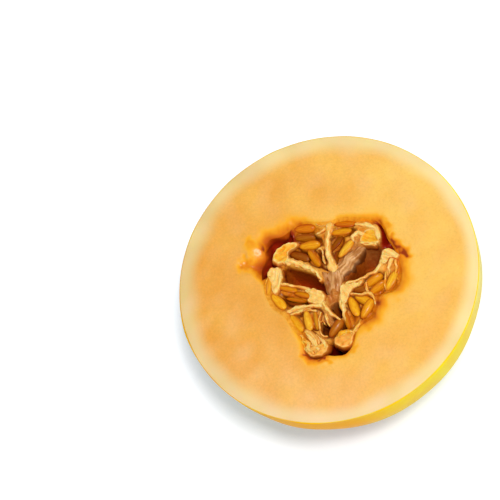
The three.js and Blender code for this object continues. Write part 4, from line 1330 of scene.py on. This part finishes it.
def fold_rings(path, foot, seed, rough):
    """Section: crest = part of an ellipse with its own ragged edge on each side; then two walls."""
    path = np.array(path, float)
    length = np.linalg.norm(np.diff(path[:, :2], axis=0), axis=1).sum()
    run = spline(path, int(length / EVERY) + 8)
    line, width, top, gold = run[:, :2], FULLNESS * run[:, 2], run[:, 3], run[:, 4]
    walk = np.linspace(0, 1, len(run)) * length
    level = 0 * walk
    # the middle line, wandering off the path
    along = np.gradient(line, axis=0)
    along /= np.linalg.norm(along, axis=1)[:, None]
    side = np.stack([-along[:, 1], along[:, 0]], axis=-1)
    wander = 0.30 * waves(walk, level, 7.0, seed) + 0.07 * waves(walk, level, 2.8, seed + 9)
    line = line + side * wander[:, None]
    # the strip closes and sinks at its ends
    from_end = np.minimum(walk, length - walk)
    closing = np.sqrt(np.clip(1 - (1 - from_end / (0.5 * width + 0.2)).clip(0, 1) ** 2, 0.01, 1))
    half = 0.5 * width * closing
    top = top + 0.20 * waves(walk, level, 5.0, seed + 2) + 1.0 * (1 - closing)
    # the section: wall, crest, wall
    turn = np.linspace(0, np.pi, CREST_POINTS)
    u = np.concatenate([WALL_OUT, np.cos(turn), -WALL_OUT[::-1]])
    sides = np.where(u > 0, ragged(walk, seed + 1)[:, None], ragged(walk, seed + 3)[:, None])
    sides = 1 + rough * (sides - 1)
    offset = u * half[:, None] * sides
    round_part = np.concatenate([np.ones(3), 1 - np.sin(turn), np.ones(3)])
    down = np.concatenate([WALL_DOWN, 0 * turn, WALL_DOWN[::-1]])
    rise = np.minimum(0.5 * width, 0.6 + 0.3 * width)
    depth = top[:, None] + round_part * rise[:, None] + down * (foot - top - rise)[:, None]
    xy = line[:, None] + side[:, None] * offset[..., None]
    x, y = xy[..., 0], xy[..., 1]
    # lumps and lengthwise grooves on the crest
    broad = np.minimum(width / 3, 1.3)[:, None]
    lumps = 0.24 * waves(x, y, 4.2, seed + 3) + 0.03 * waves(x, y, 2.0, seed + 4)
    grooves = 0.24 * waves(2.0 * offset, 0.35 * walk[:, None], 2.0, seed + 6)
    depth = depth + (rough * lumps + (0.4 + 0.6 * rough) * grooves) * broad * (down == 0)
    # painted shade: thin strings, the edges and the walls below the crest are darker
    thin = 0.4 * smooth(3.4, 1.2, width)[:, None]
    edge = 0.9 * np.clip(np.abs(u), 0, 1) ** 1.5 + 0.12 * waves(x, y, 4.0, seed + 7) + 0.9 * grooves
    fields = {"below": smooth(1.0, 6.0, depth - top[:, None]),
              "edge": np.clip(edge + thin, 0, 1),
              "gold": np.clip(1.15 * gold[:, None] + 0.22 * waves(x, y, 5.0, seed + 8), 0, 1),
              "along": walk[:, None], "across": offset + 10 * seed}
    return in_frame(x, y, depth), fields


MEMBRANE, CORE_TISSUE = membrane_material(), core_material()
for number, (name, path) in enumerate([*MEMBRANES.items(), *CORE.items()]):
    foot, rough, tissue = (CORE_FOOT, CALM, CORE_TISSUE) if name in CORE else (FOLD_FOOT, ROUGH, MEMBRANE)
    rings, fields = fold_rings(path, foot, 100 + 7 * number, rough)
    ring_piece(name, rings, [tissue], fields)
print(len(MEMBRANES), "ribbons and strings,", len(CORE), "pieces of the core")

# %% [markdown]
# ## Sacs
# Where a ribbon ends it swells into a soft sac, with a raised cream rim and a wrinkled, golden
# middle. The sac is a stack of rings that are all the same outline at another scale: up from
# its foot, over the rim, and in to the middle.

# %% Rings of a sac: scale of the outline, and depth below the rim, in mm
SAC_PROFILE = np.array([(1.20, 5.6), (1.14, 3.8), (1.08, 2.5), (1.035, 1.5), (0.995, 0.8),
                        (0.955, 0.36), (0.91, 0.1), (0.86, 0.0), (0.80, 0.05), (0.73, 0.16)])
INNER_RINGS = 14


def sac_rings(outline, top, dips, gold, peach, fibres, seed):
    """Middle of the outline + (outline - middle) x scale; depth = rim + profile, dips as 1 - scale^2."""
    outline = np.array(outline, float)
    count = int(np.linalg.norm(outline - np.roll(outline, 1, axis=0), axis=1).sum() / EVERY)
    edge = spline(outline, count, closed=True)
    middle = edge.mean(axis=0)
    torn = 1 + 0.05 * waves(*edge.T, 5, seed) + 0.012 * waves(*edge.T, 2.4, seed + 1)
    profile, low = SAC_PROFILE.T
    inner = np.linspace(profile[-1], 0.03, INNER_RINGS + 1)[1:]
    scale = np.concatenate([profile, inner])[:, None]
    low = low + max(-dips, 0) * smooth(0.8, 1.0, profile)
    below = np.concatenate([low, SAC_PROFILE[-1, 1] + dips * (1 - (inner / profile[-1]) ** 2)])[:, None]
    xy = middle + (edge - middle)[None] * torn[None, :, None] * scale[..., None]
    x, y = xy[..., 0], xy[..., 1]
    way = np.radians(fibres)
    along, across = x * np.cos(way) + y * np.sin(way), y * np.cos(way) - x * np.sin(way)
    bumps = 0.36 * waves(x, y, 5.0, seed + 2) + 0.03 * waves(x, y, 2.4, seed + 3)
    wrinkles = 0.34 * waves(0.25 * along, across, 3.0, seed + 4)
    on_top = smooth(1.0, 0.93, scale) * (below < 1.5)
    depth = top + below + (bumps + wrinkles) * on_top
    inside_rim = smooth(0.96, 0.7, scale)
    # painted shade: the sac is darker at its edge and down its foot
    edge = smooth(0.88, 1.0, scale) * 0.8 + 0.1 * waves(x, y, 4.0, seed + 5) + 0.1 * inside_rim + peach
    fields = {"below": smooth(1.0, 4.0, below), "edge": np.clip(edge, 0, 1),
              "gold": np.clip(gold * inside_rim + 0.08 * waves(x, y, 6.0, seed + 6), 0, 1),
              "along": along, "across": across}
    return in_frame(x, y, depth), fields


for number, (name, drawn_sac) in enumerate(SACS.items()):
    rings, fields = sac_rings(*drawn_sac, seed=700 + 11 * number)
    ring_piece(name, rings, [MEMBRANE], fields)
print(len(SACS), "sacs")

# %% [markdown]
# ## Seeds
# A honeydew seed is a flat, pointed oval, golden and slick, with a thin rim round its edge. Its
# blunt half is the wider, and its section is a lens.

# %% Shape of a seed
SEED_LENGTHWISE, SEED_ACROSS = 30, 24
# times the model's half sizes
LONGER, WIDER, THICKER = 1.03, 1.04, 1.15


def seed_rings(centre, axes, half):
    """girth = sin(a)^0.8 (1 - 0.2 cos a), for a from the point to the blunt end; thinner at the rim."""
    a = np.linspace(0.03, np.pi - 0.03, SEED_LENGTHWISE)[:, None]
    b = around(SEED_ACROSS)
    girth = np.sin(a) ** 0.8 * (1 - 0.2 * np.cos(a))
    across = half[1] * WIDER * girth * np.cos(b)
    swell = np.sign(np.sin(b)) * np.abs(np.sin(b)) ** 1.25
    through = half[2] * THICKER * girth ** 0.9 * swell
    local = np.stack(np.broadcast_arrays(-half[0] * LONGER * np.cos(a), across, through), axis=-1)
    fields = {"rim": np.abs(np.cos(b)) ** 2.0, "tip": smooth(0.62, 1.0, np.cos(a)),
              "along": local[..., 0], "across": across + 7 * centre[0]}
    return (centre + local @ axes) * MM, fields


# %% [markdown]
# ## Finish of the seeds
# Seeds are slick, golden to olive, browner at the point, and no two have quite the same colour.
# Along the rim they are browner too, as painted shade on their rounded sides. A few lie under a
# film of gel, which makes them darker and more orange.

# %% Seed material and all the seeds
PALE, GOLD, UNDER_GEL, OLIVE, BROWN = 0.0, 0.35, 0.62, 0.78, 1.0
SHADE_STOPS = stops((PALE, 252, 214, 130), (0.2, 254, 204, 62), (GOLD, 252, 194, 34),
                    (0.5, 236, 164, 16), (UNDER_GEL, 224, 134, 6), (OLIVE, 178, 110, 12),
                    (BROWN, 142, 68, 8))
# seed and its place on that scale, the olive and brown ones partly painted shade for seeds that lie in
# shade; the rest take one by chance
SHADES = {1: 0.62, 2: 0.76, 3: 0.46, 4: 0.90, 5: 0.52, 6: 0.62, 7: 0.46, 8: 0.84, 9: 0.22, 10: 0.88,
          11: 0.24, 12: 0.36, 13: 0.42, 16: 0.86, 17: 0.38, 18: 0.26, 20: 0.04, 21: 0.84, 22: 0.5,
          23: 0.5, 24: 0.3, 25: 0.38, 26: 0.46, 27: 0.56, 28: 0.74}


def seed_material():
    """Pale, gold, olive or under gel by the field `shade`; a brown point, and a brown rim that is painted
    shade; clear wet coat.
    """
    material, tree, principled = wet_material("slick_seed", coat=0.4, scatter=0.05)
    gold = ramp(tree, field_of(tree, "shade"), SHADE_STOPS)
    fibres = fibres_of(tree, 1.5)
    streaky = stretched(tree, fibres, (0.35, 0.7))
    tone = mix_colours(tree, streaky, gold, tinted(tree, gold, 0.84, 0.56, 0.22))
    # painted shade: the rim darker on the seed's rounded sides; the point is brown too
    edge = tinted(tree, gold, 0.64, 0.30, 0.10)
    tone = layered(tree, tone, ("rim", edge), ("tip", edge))
    finish(tree, principled, tone, fibres, strength=0.3, distance=0.0002)
    return material


SLICK = seed_material()
drawn = np.random.default_rng(17).uniform(0.26, 0.5, len(SEED_NODES))
for node, by_chance in zip(SEED_NODES, drawn):
    rings, fields = seed_rings(*SEED_PLACES[node])
    fields["shade"] = SHADES.get(int(node[5:]), by_chance)
    kernel = ring_piece(node.replace("seed", "kernel"), rings, [SLICK], fields)
    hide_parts(node)
print(len(SEED_NODES), "seeds")
